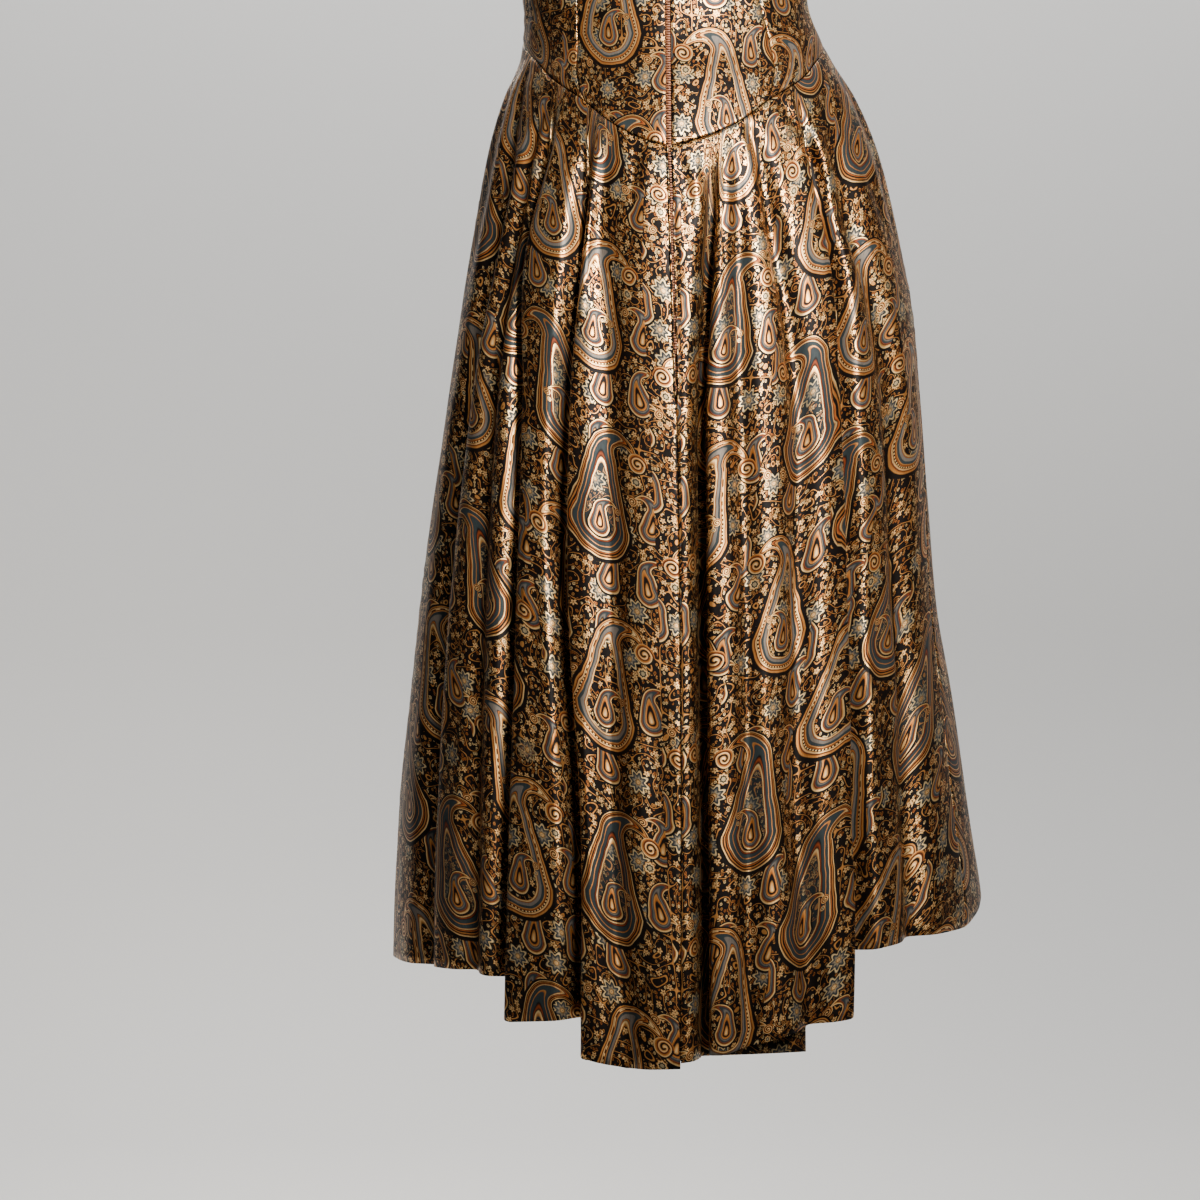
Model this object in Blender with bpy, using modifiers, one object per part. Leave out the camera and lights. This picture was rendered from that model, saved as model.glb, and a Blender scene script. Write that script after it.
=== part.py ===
"""High-low cocktail dress of paisley brocade, in the hollow form that it has when it is worn.

Metres, +Z up. The origin lies on the shoulder line, midway between the two straps.
The back of the dress faces +Y and the front -Y; the wearer's left is +X.

A bearing is an angle round the figure in degrees: 0 at the centre back, +90 at the
wearer's left side, -90 at the right side and 180 at the centre front. A place on the
dress is a bearing, a height and a stand-off (metres out from the figure's surface).
"""

import math
from typing import NamedTuple

import bmesh
import bpy
from mathutils import Matrix, Vector

MM = 0.001

# Driving dimensions
CLOTH = 1.1 * MM            # wall of the brocade with its backing
SEAM_GAP = 0.3 * MM         # between two pieces at a seam
WAIST_GAP = 0.6 * MM        # at the waist seam, whose two edges bend in different places
CENTRE_BACK_POINT = -0.523  # lowest point of the pointed waist seam
SHOULDER_GAP = 0.5 * MM     # between front and back at the shoulder and side seams
SHOULDER_SLOPE = 0.36       # fall of the shoulder seam for each metre outwards
SHOULDER_START = 0.065      # half of the neck's width at the shoulder
SHOULDER_ROLL = 0.09        # height over which the figure rounds in to the shoulder seam
BUST_HEIGHT = -0.245
BUST_BEARING = 142.0
BUST_DEPTH = 0.020
BUST_SPREAD = 0.058
BUST_BREADTH = 24.0         # degrees of bearing over which the bust rounds away
SIDE_BLEND = 1.5            # how fast the right half-width turns into the left one
ZIP_BOTTOM = -0.700
ZIP_HALF_WIDTH = 1.7 * MM
TAPE_HALF_WIDTH = 7.5 * MM
TAPE = 0.8 * MM
ZIP_CLOSING = 12.0 * MM     # height over which the back edges meet under the zip
SLIDER_DROP = 12.0 * MM     # middle of the slider below the back neck


class Section(NamedTuple):
    """Half-widths and depths of the figure's surface at one height."""

    height: float
    left: float
    right: float
    back: float
    front: float


SECTIONS = (
    Section(0.030, 0.168, 0.168, 0.070, 0.058),
    Section(-0.100, 0.163, 0.163, 0.090, 0.086),
    Section(-0.200, 0.148, 0.148, 0.098, 0.106),
    Section(-0.260, 0.139, 0.139, 0.096, 0.106),
    Section(-0.330, 0.121, 0.121, 0.087, 0.094),
    Section(-0.397, 0.107, 0.106, 0.081, 0.084),
    Section(-0.442, 0.109, 0.123, 0.092, 0.092),
    Section(-0.472, 0.121, 0.141, 0.107, 0.101),
    Section(-0.507, 0.131, 0.156, 0.122, 0.111),
    Section(-0.547, 0.139, 0.167, 0.134, 0.120),
    Section(-0.622, 0.152, 0.183, 0.150, 0.134),
    Section(-0.697, 0.163, 0.190, 0.161, 0.145),
    Section(-0.772, 0.174, 0.196, 0.170, 0.154),
    Section(-0.847, 0.184, 0.202, 0.179, 0.162),
    Section(-0.922, 0.192, 0.214, 0.188, 0.170),
    Section(-0.997, 0.199, 0.225, 0.197, 0.178),
    Section(-1.072, 0.203, 0.236, 0.206, 0.186),
    Section(-1.180, 0.206, 0.240, 0.215, 0.194),
)


class EdgePoint(NamedTuple):
    """A cut edge or seam of the bodice: its bearing from the centre line at a height."""

    height: float
    bearing: float


BACK_PRINCESS = (
    EdgePoint(0.03, 45.0),
    EdgePoint(-0.20, 41.0),
    EdgePoint(-0.40, 39.0),
    EdgePoint(-0.455, 36.0),
    EdgePoint(-0.500, 25.5),
)
FRONT_PRINCESS = (
    EdgePoint(0.03, 45.0),
    EdgePoint(-0.10, 42.0),
    EdgePoint(-0.245, 38.0),
    EdgePoint(-0.40, 37.0),
    EdgePoint(-0.455, 34.0),
    EdgePoint(-0.500, 25.5),
)
ARMHOLE = (
    EdgePoint(0.03, 66.0),
    EdgePoint(-0.03, 64.0),
    EdgePoint(-0.075, 59.0),
    EdgePoint(-0.120, 57.0),
    EdgePoint(-0.155, 60.5),
    EdgePoint(-0.176, 67.5),
    EdgePoint(-0.190, 77.0),
    EdgePoint(-0.198, 90.0),
)
BACK_NECK = (
    EdgePoint(0.030, 24.5),
    EdgePoint(-0.005, 22.5),
    EdgePoint(-0.027, 19.0),
    EdgePoint(-0.045, 12.5),
    EdgePoint(-0.055, 4.5),
    EdgePoint(-0.058, 0.0),
)
FRONT_NECK = (
    EdgePoint(0.030, 24.5),
    EdgePoint(-0.027, 23.0),
    EdgePoint(-0.045, 21.0),
    EdgePoint(-0.065, 17.0),
    EdgePoint(-0.077, 12.5),
    EdgePoint(-0.086, 5.5),
    EdgePoint(-0.088, 0.0),
)


class SeamPoint(NamedTuple):
    """The pointed waist seam: its height at one bearing, the same left and right."""

    bearing: float
    height: float


WAIST_SEAM = (
    SeamPoint(0.0, CENTRE_BACK_POINT),
    SeamPoint(10.0, -0.515),
    SeamPoint(20.0, -0.502),
    SeamPoint(30.0, -0.485),
    SeamPoint(45.0, -0.467),
    SeamPoint(60.0, -0.450),
    SeamPoint(90.0, -0.428),
)

# Heights at which the skirt's fold table gives its bearings
LEVELS = (-0.52, -0.60, -0.70, -0.84, -1.00, -1.15)


class Fold(NamedTuple):
    """One fold or seam of the skirt, from the waist seam to the hem.

    The six bearings stand at LEVELS. Depth and mouth are in millimetres at the hem.
    Lap is the cloth that lies under the fold's edge there, and 0 for an open trough.
    Over is +1 where the cloth at the greater bearing lies on top and -1 where the
    other does. The hem heights, in millimetres below the origin, are those on the
    side of the greater bearing and on the other side.
    """

    name: str
    seam: float
    hip: float
    seat: float
    thigh: float
    knee: float
    hem: float
    depth: float
    mouth: float
    lap: float
    over: int
    hem_before: float
    hem_after: float


# Round the skirt from the centre front, by the wearer's left side, the back and the
# right side, to the centre front again.
FOLDS = (
    Fold("centre_front_start", 180, 180, 180, 180, 180, 180, 0, 8, 0, 0, 946, 946),
    Fold("front_dip_left", 171, 170, 169, 168, 168, 167, 7, 13, 0, 0, 951, 951),
    Fold("front_left_inner", 160, 158, 156, 155, 154, 153, 22, 9, 30, 1, 962, 974),
    Fold("front_left_soft", 147, 144, 143, 141, 140, 139, 11, 15, 0, 0, 992, 992),
    Fold("front_left_outer", 134, 129, 127, 126, 125, 124, 22, 9, 32, 1, 1012, 1036),
    Fold("front_left_hip", 114, 111, 110, 109, 108, 107, 11, 15, 0, 0, 1066, 1066),
    Fold("side_left", 90, 90, 90, 90, 90, 90, 0, 8, 0, 0, 1112, 1112),
    Fold("back_left_side", 61, 63, 67, 65, 62, 60, 10, 12, 0, 0, 1110, 1110),
    Fold("back_left_soft", 49, 53, 53, 49, 45.5, 44.5, 9, 9, 0, 0, 1109, 1109),
    Fold("back_left_outer", 40, 45.5, 40.8, 37, 35.2, 35.2, 22, 6, 34, -1, 1113, 1142),
    Fold("back_left_inner", 24.6, 25.5, 26.2, 23.7, 18.8, 18.1, 23.5, 7, 32, -1, 1138, 1165),
    Fold("back_left_trough", 16.5, 17.5, 15.7, 13.2, 12.0, 9.0, 11, 12, 0, 0, 1171, 1171),
    Fold("centre_back", 0, -0.7, -1.5, -1.9, -1.9, -1.6, 0, 8, 0, 0, 1170, 1166),
    Fold("back_right_inner", -12.0, -10.3, -8.1, -7.7, -7.2, -6.8, 23.5, 3, 72, -1, 1164, 1161),
    Fold("back_right_soft", -17, -16.0, -15.6, -15.7, -14.3, -13.2, 8, 8, 0, 0, 1156, 1156),
    Fold("back_right_trough", -23, -26.7, -29.6, -27.5, -24, -25, 11, 11, 0, 0, 1143, 1143),
    Fold("back_right_outer", -39, -41, -40.8, -39.5, -35, -32.7, 22, 6, 28, 1, 1140, 1094),
    Fold("back_right_soft_side", -50, -53, -59, -57.5, -51, -47, 11, 13, 0, 0, 1087, 1087),
    Fold("side_right", -90, -88, -82, -74, -68, -64, 0, 8, 0, 0, 1084, 1084),
    Fold("front_right_hip", -113, -110, -107, -104, -103, -102, 12, 16, 0, 0, 1052, 1052),
    Fold("front_right_outer", -132, -128, -126, -124, -123, -122, 22, 9, 30, -1, 1030, 1008),
    Fold("front_right_soft", -147, -144, -142, -141, -140, -140, 10, 14, 0, 0, 984, 984),
    Fold("front_right_inner", -160, -158, -156, -155, -154, -154, 22, 9, 30, -1, 972, 960),
    Fold("front_dip_right", -171, -170, -170, -169, -169, -168, 8, 13, 0, 0, 951, 951),
    Fold("centre_front_end", -180, -180, -180, -180, -180, -180, 0, 8, 0, 0, 946, 946),
)

FOLD_NAMES = [fold.name for fold in FOLDS]
CENTRE_BACK = FOLD_NAMES.index("centre_back")

# How a lapped fold runs, from the top layer round its edge, back under it, and out on
# the next panel: across as a share of the lap, millimetres across and millimetres in.
LAP_RUN = (
    (0.00, 7.0, 0.0),
    (0.00, 1.8, 1.0),
    (0.00, 0.0, 4.0),
    (0.00, 2.6, 8.6),
    (0.50, 0.5, 15.6),
    (1.00, -2.8, 17.4),
    (1.00, 0.0, 20.0),
    (1.00, -2.8, 22.6),
    (0.50, -0.5, 23.5),
    (0.00, -1.0, 22.5),
    (0.00, -4.5, 18.0),
)
LAP_RUN_DEPTH = 23.5
RECESS_SHARE = 18.0 / LAP_RUN_DEPTH
LAP_START_SPREAD = 4.0  # half of the cloth that a lap takes at the waist seam, in mm
RECESS_RISE = 6.0       # mm over which the next panel comes out again beside a lap
FOLD_RISE = 0.105       # height below the waist seam at which a fold has taken its form
FIRST_GROWTH = 0.72     # share of its full depth that a fold has there
FULL_GROWTH = 0.45      # height below the waist seam at which it has all of it
FOLD_REACH = 25.0       # degrees beyond which a fold no longer moves the cloth
PANEL_STEPS = 4         # faces across the cloth between two folds
SKIRT_ROWS = 12
ROW_CROWDING = 1.2

# Bodice rows: heights up to the lower armhole, then distances under the shoulder line
WAIST_LEVEL = -0.412
BODICE_HEIGHTS = (-0.397, -0.350, -0.300, -0.250, -0.215, -0.198, -0.190, -0.178, -0.160)
SHOULDER_DROPS = (
    0.110, 0.100, 0.088, 0.078, 0.068, 0.050, 0.028, 0.011, 0.0028, 0.0005, 0.0,
)
YOKE_DROP = 0.088  # under the shoulder line, where a back panel's solid is parted
CENTRE_COLUMNS = 8
SIDE_COLUMNS = 6


def smooth_step(value):
    """0 below 0, 1 above 1, and a soft S between."""
    share = min(max(value, 0.0), 1.0)
    return share * share * (3.0 - 2.0 * share)


def curve_through(rows, place, column, at):
    """The value of one column at a place, on a smooth curve through a table's rows."""
    ordered = sorted(rows, key=lambda row: row[place])
    spots = [row[place] for row in ordered]
    values = [row[column] for row in ordered]
    if at <= spots[0]:
        return values[0]
    if at >= spots[-1]:
        return values[-1]
    low = max(i for i, spot in enumerate(spots[:-1]) if spot <= at)
    span = spots[low + 1] - spots[low]
    slopes = []
    for i in (low, low + 1):
        before = max(i - 1, 0)
        after = min(i + 1, len(spots) - 1)
        slopes.append((values[after] - values[before]) / (spots[after] - spots[before]))
    share = (at - spots[low]) / span
    rest = 1.0 - share
    return (
        values[low] * rest * rest * (1.0 + 2.0 * share)
        + values[low + 1] * share * share * (1.0 + 2.0 * rest)
        + slopes[0] * span * share * rest * rest
        - slopes[1] * span * share * share * rest
    )


def half_sizes(angle, height):
    """The figure's half-width and depth towards an angle, at a height.

    The left and right half-widths differ, and one turns into the other at the middle.
    """
    left, right, back, front = (curve_through(SECTIONS, 0, i, height) for i in (1, 2, 3, 4))
    leftward = smooth_step(0.5 + SIDE_BLEND * math.sin(angle))
    return right + (left - right) * leftward, back if math.cos(angle) >= 0.0 else front


def shoulder_line(across):
    """Height of the shoulder seam at a distance from the middle."""
    return -(abs(across) - SHOULDER_START) * SHOULDER_SLOPE


def surface(bearing, height, stand_off=0.0):
    """The point at a bearing and a height, a stand-off out from the figure's surface."""
    angle = math.radians(bearing)
    width, depth = half_sizes(angle, height)
    across = width * math.sin(angle)
    under_shoulder = min(max(shoulder_line(across) - height, 0.0) / SHOULDER_ROLL, 1.0)
    roll = math.sqrt(under_shoulder * (2.0 - under_shoulder))
    along = depth * math.cos(angle) * roll
    out = Vector((math.sin(angle) / width, math.cos(angle) / depth, 0.0)).normalized()
    bust = math.exp(
        -(((height - BUST_HEIGHT) / BUST_SPREAD) ** 2)
        - ((abs(bearing) - BUST_BEARING) / BUST_BREADTH) ** 2
    )
    return Vector((across, along, height)) + out * (stand_off + BUST_DEPTH * bust)


def degrees_for(distance, bearing, height):
    """The change of bearing that spans a distance on the figure's surface."""
    angle = math.radians(bearing)
    width, depth = half_sizes(angle, height)
    return math.degrees(distance / math.hypot(width * math.cos(angle), depth * math.sin(angle)))


def waist_seam(bearing):
    """Height of the waist seam; the front has the same pointed line as the back."""
    turned = abs(bearing)
    if turned > 90.0:
        turned = 180.0 - turned
    return curve_through(WAIST_SEAM, 0, 1, turned)


# ---------------------------------------------------------------- skirt


def fold_bearing(fold, height):
    """Bearing of a fold at a height, on a smooth curve through its six levels."""
    rows = [(level, fold[1 + i]) for i, level in enumerate(LEVELS)]
    return curve_through(rows, 0, 1, height)


def fold_growth(fold, height):
    """How far a fold has opened at a height: 0 at the waist seam, 1 well below it."""
    start = waist_seam(fold_bearing(fold, height))
    opened = smooth_step((start - height) / FOLD_RISE)
    later = smooth_step((start - height) / FULL_GROWTH)
    return opened * (FIRST_GROWTH + (1.0 - FIRST_GROWTH) * later)


def trough(bearing, height):
    """How far the cloth lies in at a bearing, from all the folds near it, in metres."""
    inward = 0.0
    for fold in FOLDS:
        centre = fold_bearing(fold, height)
        beyond = (bearing - centre + 180.0) % 360.0 - 180.0
        if fold.depth == 0 or abs(beyond) > FOLD_REACH:
            continue
        reach = abs(beyond) / degrees_for(MM, bearing, height)
        if fold.lap == 0:
            share = math.exp(-((reach / fold.mouth) ** 2))
        elif beyond * fold.over < 0.0:
            reach = max(reach - fold.mouth, 0.0)
            share = RECESS_SHARE * math.exp(-((reach / RECESS_RISE) ** 2))
        else:
            continue
        inward += share * fold.depth * MM * fold_growth(fold, height)
    return inward


def lap_stations(fold):
    """Places across one lapped fold, in the order of falling bearing.

    Each is (share of the lap, millimetres across, millimetres in, millimetres across at
    the waist seam, share of the way from the hem height before to the one after).
    """
    last = len(LAP_RUN) - 1
    stations = []
    for i, (share, across, inward) in enumerate(LAP_RUN):
        passed = i / last
        flat = LAP_START_SPREAD * (1.0 - 2.0 * passed)
        stations.append((share, across, inward, flat, passed))
    if fold.over < 0:
        stations = [
            (share, -across, inward, -flat, 1.0 - passed)
            for share, across, inward, flat, passed in reversed(stations)
        ]
    return stations


def lap_point(fold, station, height):
    """Bearing and stand-off of one station of a lapped fold at a height."""
    share, across, inward, flat, _ = station
    growth = fold_growth(fold, height)
    spread = growth**3
    side = 1.0 if fold.over > 0 else -1.0
    full = side * share * fold.lap + across
    distance = flat * (1.0 - spread) + full * spread
    centre = fold_bearing(fold, height)
    bearing = centre + degrees_for(distance * MM, centre, height)
    deep = fold.depth / LAP_RUN_DEPTH
    return bearing, -inward * deep * growth * MM


class Station(NamedTuple):
    """One line of cloth down the skirt: in a fold's lap, or between two folds."""

    fold: Fold
    lap: tuple
    following: Fold
    share: float
    hem: float


def skirt_stations(first, last):
    """The stations from one row of the fold table to another, both seams."""
    stations = []
    for i in range(first, last):
        fold, following = FOLDS[i], FOLDS[i + 1]
        if fold.lap and i > first:
            for lap in lap_stations(fold):
                hem = fold.hem_before + (fold.hem_after - fold.hem_before) * smooth_step(lap[4])
                stations.append(Station(fold, lap, following, 0.0, hem))
        start = 1 if fold.lap else 0
        stop = PANEL_STEPS - 1 if following.lap else PANEL_STEPS
        for step in range(start, stop + 1 if i == last - 1 or following.lap else stop):
            share = step / PANEL_STEPS
            hem = fold.hem_after + (following.hem_before - fold.hem_after) * share
            stations.append(Station(fold, (), following, share, hem))
    return stations


def panel_bearing(station, height):
    """Bearing of a station between two folds, from the end of one lap to the next."""
    start = fold_bearing(station.fold, height)
    end = fold_bearing(station.following, height)
    if station.fold.lap and station.share:
        start, _ = lap_point(station.fold, lap_stations(station.fold)[-1], height)
    if station.following.lap:
        end, _ = lap_point(station.following, lap_stations(station.following)[0], height)
    return start + (end - start) * station.share


def skirt_point(station, height):
    """The cloth's outer surface at a station and a height."""
    if station.lap:
        bearing, stand_off = lap_point(station.fold, station.lap, height)
    else:
        bearing = panel_bearing(station, height)
        stand_off = -trough(bearing, height)
    return bearing, stand_off


def zip_gap(height):
    """Half of the opening between the two back edges: wide round the zip, shut below."""
    closed = smooth_step((ZIP_BOTTOM - height) / ZIP_CLOSING)
    open_gap = ZIP_HALF_WIDTH + SEAM_GAP
    return open_gap + (0.5 * SEAM_GAP - open_gap) * closed


def skirt_downs():
    """Shares of the way from the waist seam to the hem at which the skirt has its rows."""
    return [(row / SKIRT_ROWS) ** ROW_CROWDING for row in range(SKIRT_ROWS + 1)]


def skirt_grid(first_name, last_name):
    """Rows of points for the skirt between two seams of the fold table."""
    stations = skirt_stations(FOLD_NAMES.index(first_name), FOLD_NAMES.index(last_name))
    rows = []
    for down in skirt_downs():
        points = []
        for i, station in enumerate(stations):
            height = -0.7
            for _ in range(4):
                bearing, _ = skirt_point(station, height)
                top = waist_seam(bearing) - 0.5 * WAIST_GAP
                height = top + (-station.hem * MM - top) * down
            bearing, stand_off = skirt_point(station, height)
            at_edge = (i == 0) - (i == len(stations) - 1)
            if at_edge:
                seam = first_name if i == 0 else last_name
                gap = zip_gap(height) if seam == "centre_back" else 0.5 * SEAM_GAP
                if not seam.startswith("centre_front"):
                    bearing -= at_edge * degrees_for(gap, bearing, height)
            points.append(surface(bearing, height, stand_off))
        rows.append(points)
    return rows


# ---------------------------------------------------------------- bodice


def edge_bearing(points, height):
    """Bearing of a bodice edge at a height; 0 below the neck's lowest point."""
    return curve_through(points, 0, 1, height)


def crossing(edge, row, side, back):
    """Bearing, from the centre of the panels, at which a row meets an edge."""
    low, high = -5.0, 95.0
    for _ in range(24):
        middle = 0.5 * (low + high)
        if edge(row_height(row, middle, side, back)) > middle:
            low = middle
        else:
            high = middle
    return 0.5 * (low + high)


def row_height(row, bearing, side, back):
    """Height of a row at a bearing from the centre of the panels."""
    turned = side * (bearing if back else 180.0 - bearing)
    height = -0.1
    for _ in range(4):
        height = row(turned, abs(surface(turned, height).x))
    return height


def bodice_row(inner, outer, row, facing, shares):
    """The points of one row of a bodice panel, from its inner to its outer edge.

    Inner and outer give the panel's edges as bearings from its centre, at a height.
    Facing is (1 for left or -1 for right, whether it is a back panel).
    """
    side, back = facing
    near = crossing(inner, row, side, back)
    far = crossing(outer, row, side, back)
    points = []
    for share in shares:
        bearing = near + (far - near) * share
        height = row_height(row, bearing, side, back)
        place = surface(side * (bearing if back else 180.0 - bearing), height)
        place.y += (0.5 if back else -0.5) * SHOULDER_GAP
        points.append(place)
    return points


def row_at(level):
    """A row at one height."""
    return lambda turned, across: level


def row_between(share):
    """A row at a share of the way from the waist seam up to the first level row."""
    return lambda turned, across: (
        (waist_seam(turned) + 0.5 * WAIST_GAP) * (1.0 - share) + WAIST_LEVEL * share
    )


def row_under_shoulder(drop):
    """A row at a distance under the shoulder line."""
    return lambda turned, across: shoulder_line(across) - drop


def panel_rows():
    """All rows of a bodice panel, from the waist seam to the shoulder seam."""
    rows = [row_between(share) for share in (0.0, 0.25, 0.55, 1.0)]
    rows += [row_at(level) for level in BODICE_HEIGHTS]
    rows += [row_under_shoulder(drop) for drop in SHOULDER_DROPS]
    return rows


def parted_rows():
    """The rows of a centre back panel under and over the line where its solid parts."""
    rows = panel_rows()
    part = len(rows) - len(SHOULDER_DROPS) + SHOULDER_DROPS.index(YOKE_DROP)
    under = row_under_shoulder(YOKE_DROP + 0.5 * SEAM_GAP)
    over = row_under_shoulder(YOKE_DROP - 0.5 * SEAM_GAP)
    return rows[:part] + [under], [over] + rows[part + 1:]


def bodice_grid(inner, outer, facing, columns, rows):
    """Rows of points for one bodice panel, in the order of its rows."""
    shares = [step / columns for step in range(columns + 1)]
    return [bodice_row(inner, outer, row, facing, shares) for row in rows]


# ---------------------------------------------------------------- objects


def material(name, colour, roughness, metallic=0.0):
    """A Principled material."""
    made = bpy.data.materials.new(name)
    made.use_nodes = True
    shader = made.node_tree.nodes["Principled BSDF"]
    shader.inputs["Base Color"].default_value = (*colour, 1.0)
    shader.inputs["Roughness"].default_value = roughness
    shader.inputs["Metallic"].default_value = metallic
    return made


def link(name, mesh, finish, collection):
    """An object for a mesh, with its material, in a collection."""
    made = bpy.data.objects.new(name, mesh)
    made.data.materials.append(finish)
    collection.objects.link(made)
    made.data.shade_smooth()
    return made


def sheet_mesh(name, grids):
    """An open surface lofted through one or more grids, merged where they meet."""
    work = bmesh.new()
    for grid in grids:
        rows = [[work.verts.new(point) for point in row] for row in grid]
        for low, high in zip(rows[:-1], rows[1:]):
            for i in range(len(low) - 1):
                work.faces.new((low[i], low[i + 1], high[i + 1], high[i]))
    bmesh.ops.remove_doubles(work, verts=work.verts, dist=0.02 * MM)
    bmesh.ops.recalc_face_normals(work, faces=work.faces)
    middle = max(work.faces, key=lambda face: abs(face.calc_center_median().y))
    if middle.normal.y * middle.calc_center_median().y < 0.0:
        bmesh.ops.reverse_faces(work, faces=work.faces)
    mesh = bpy.data.meshes.new(name)
    work.to_mesh(mesh)
    work.free()
    return mesh


def cloth(name, grids, finish, collection):
    """A cloth piece: an open surface with its wall inside it."""
    made = link(name, sheet_mesh(name, grids), finish, collection)
    wall = made.modifiers.new("Wall", "SOLIDIFY")
    wall.thickness = CLOTH
    wall.offset = -1.0
    wall.use_even_offset = False
    return made


def make_skirt(finish, collection):
    """The two skirt backs, which meet at the centre back, and the skirt front."""
    cloth("skirt_back_left", [skirt_grid("side_left", "centre_back")], finish, collection)
    cloth("skirt_back_right", [skirt_grid("centre_back", "side_right")], finish, collection)
    front = [
        skirt_grid("centre_front_start", "side_left"),
        skirt_grid("side_right", "centre_front_end"),
    ]
    cloth("skirt_front", front, finish, collection)


def seam_beside(points, sign):
    """An edge half a seam's gap to one side of a seam line."""
    def edge(height):
        bearing = edge_bearing(points, height)
        return bearing + sign * degrees_for(0.5 * SEAM_GAP, bearing, height)
    return edge


def centre_back_edge(height):
    """The zip's side of a centre back panel, and above it the back neck."""
    neck = edge_bearing(BACK_NECK, height) if height > BACK_NECK[-1].height else 0.0
    return neck + degrees_for(zip_gap(height), 0.0, height)


def centre_front_edge(height):
    """The centre front line, and above it the front neck."""
    return edge_bearing(FRONT_NECK, height) if height > FRONT_NECK[-1].height else 0.0


def side_edge(height):
    """The side seam, and above it the armhole."""
    seam = 90.0 - degrees_for(0.5 * SEAM_GAP, 90.0, height)
    return min(edge_bearing(ARMHOLE, height), seam) if height > ARMHOLE[-1].height else seam


def make_bodice(finish, collection):
    """Centre and side panels of the bodice, back and front.

    A centre back panel is one piece of cloth in two solids, panel and yoke, because its
    yoke bends round the neck and over the shoulder.
    """
    rows = panel_rows()
    panel, yoke = parted_rows()
    for word, side in (("left", 1.0), ("right", -1.0)):
        back = (side, True)
        front = (side, False)
        princess = seam_beside(BACK_PRINCESS, -1)
        for name, part in (("bodice_back_", panel), ("bodice_back_yoke_", yoke)):
            grid = bodice_grid(centre_back_edge, princess, back, CENTRE_COLUMNS, part)
            cloth(name + word, [grid], finish, collection)
        grid = bodice_grid(seam_beside(BACK_PRINCESS, 1), side_edge, back, SIDE_COLUMNS, rows)
        cloth("bodice_back_side_" + word, [grid], finish, collection)
        grid = bodice_grid(seam_beside(FRONT_PRINCESS, 1), side_edge, front, SIDE_COLUMNS, rows)
        cloth("bodice_front_side_" + word, [grid], finish, collection)
    princess = seam_beside(FRONT_PRINCESS, -1)
    halves = [
        bodice_grid(centre_front_edge, princess, (side, False), CENTRE_COLUMNS, rows)
        for side in (1.0, -1.0)
    ]
    cloth("bodice_front", halves, finish, collection)


def zip_place(height, across, out):
    """A point beside the centre back seam, at a stand-off out from the cloth there."""
    seam = fold_bearing(FOLDS[CENTRE_BACK], height) if height < CENTRE_BACK_POINT else 0.0
    bearing = seam + degrees_for(across, seam, height)
    return surface(bearing, height, out - trough(bearing, height))


def zip_frame(height):
    """Place and tilt of the zip at a height: the matrix's Y is out and its Z is up."""
    up = zip_place(height + MM, 0.0, 0.0) - zip_place(height - MM, 0.0, 0.0)
    tilt = math.atan2(-up.y, up.z)
    return Matrix.Translation(zip_place(height, 0.0, 0.0)) @ Matrix.Rotation(tilt, 4, "X")


def zip_heights():
    """Heights of the zip's sections: those of the rows of cloth beside it."""
    seam = FOLDS[CENTRE_BACK]
    top = waist_seam(0.0)
    heights = [row(0.0, 0.0) for row in panel_rows()]
    heights += [top + (-seam.hem_before * MM - top) * down for down in skirt_downs()]
    inside = [height for height in heights if ZIP_BOTTOM < height < BACK_NECK[-1].height]
    return sorted(set(inside + [ZIP_BOTTOM, BACK_NECK[-1].height - MM]), reverse=True)


def make_zip(finish, collection):
    """The zip's closed chain between the back edges, on its tape inside them."""
    chain, tape = ZIP_HALF_WIDTH, TAPE_HALF_WIDTH
    face = 0.6 * MM
    under = -1.15 * CLOTH - SEAM_GAP
    droop = 0.5 * MM
    profile = (
        (-chain, face), (-chain, under), (-tape, under - droop), (-tape, under - droop - TAPE),
        (tape, under - droop - TAPE), (tape, under - droop), (chain, under), (chain, face),
    )
    work = bmesh.new()
    rings = []
    for height in zip_heights():
        rings.append([work.verts.new(zip_place(height, x, y)) for x, y in profile])
    for low, high in zip(rings[:-1], rings[1:]):
        for i in range(len(profile)):
            after = (i + 1) % len(profile)
            work.faces.new((low[i], low[after], high[after], high[i]))
    work.faces.new(rings[0])
    work.faces.new(list(reversed(rings[-1])))
    bmesh.ops.recalc_face_normals(work, faces=work.faces)
    mesh = bpy.data.meshes.new("zip_chain")
    work.to_mesh(mesh)
    work.free()
    link("zip_chain", mesh, finish, collection)


def add_block(work, size, centre, round_off):
    """A box with rounded edges, added to a bmesh."""
    made = bmesh.ops.create_cube(work, size=1.0)
    bmesh.ops.scale(work, vec=size, verts=made["verts"])
    bmesh.ops.translate(work, vec=centre, verts=made["verts"])
    edges = list({edge for vert in made["verts"] for edge in vert.link_edges})
    bmesh.ops.bevel(
        work, geom=edges, offset=round_off, offset_type="OFFSET", affect="EDGES",
        segments=1, profile=0.5, material=-1,
    )


def block(name, size, centre, round_off, place, finish, collection):
    """A rounded box as an object of its own, set in a frame."""
    work = bmesh.new()
    add_block(work, size, centre, round_off)
    mesh = bpy.data.meshes.new(name)
    work.to_mesh(mesh)
    work.free()
    made = link(name, mesh, finish, collection)
    made.matrix_world = place
    return made


def join_all(target, others):
    """Boolean unions of helpers into a target, which keep the helpers out of the part."""
    for other in others:
        join = target.modifiers.new("Join_" + other.name, "BOOLEAN")
        join.operation = "UNION"
        join.object = other
        other.hide_render = True
        other.display_type = "WIRE"


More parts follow.
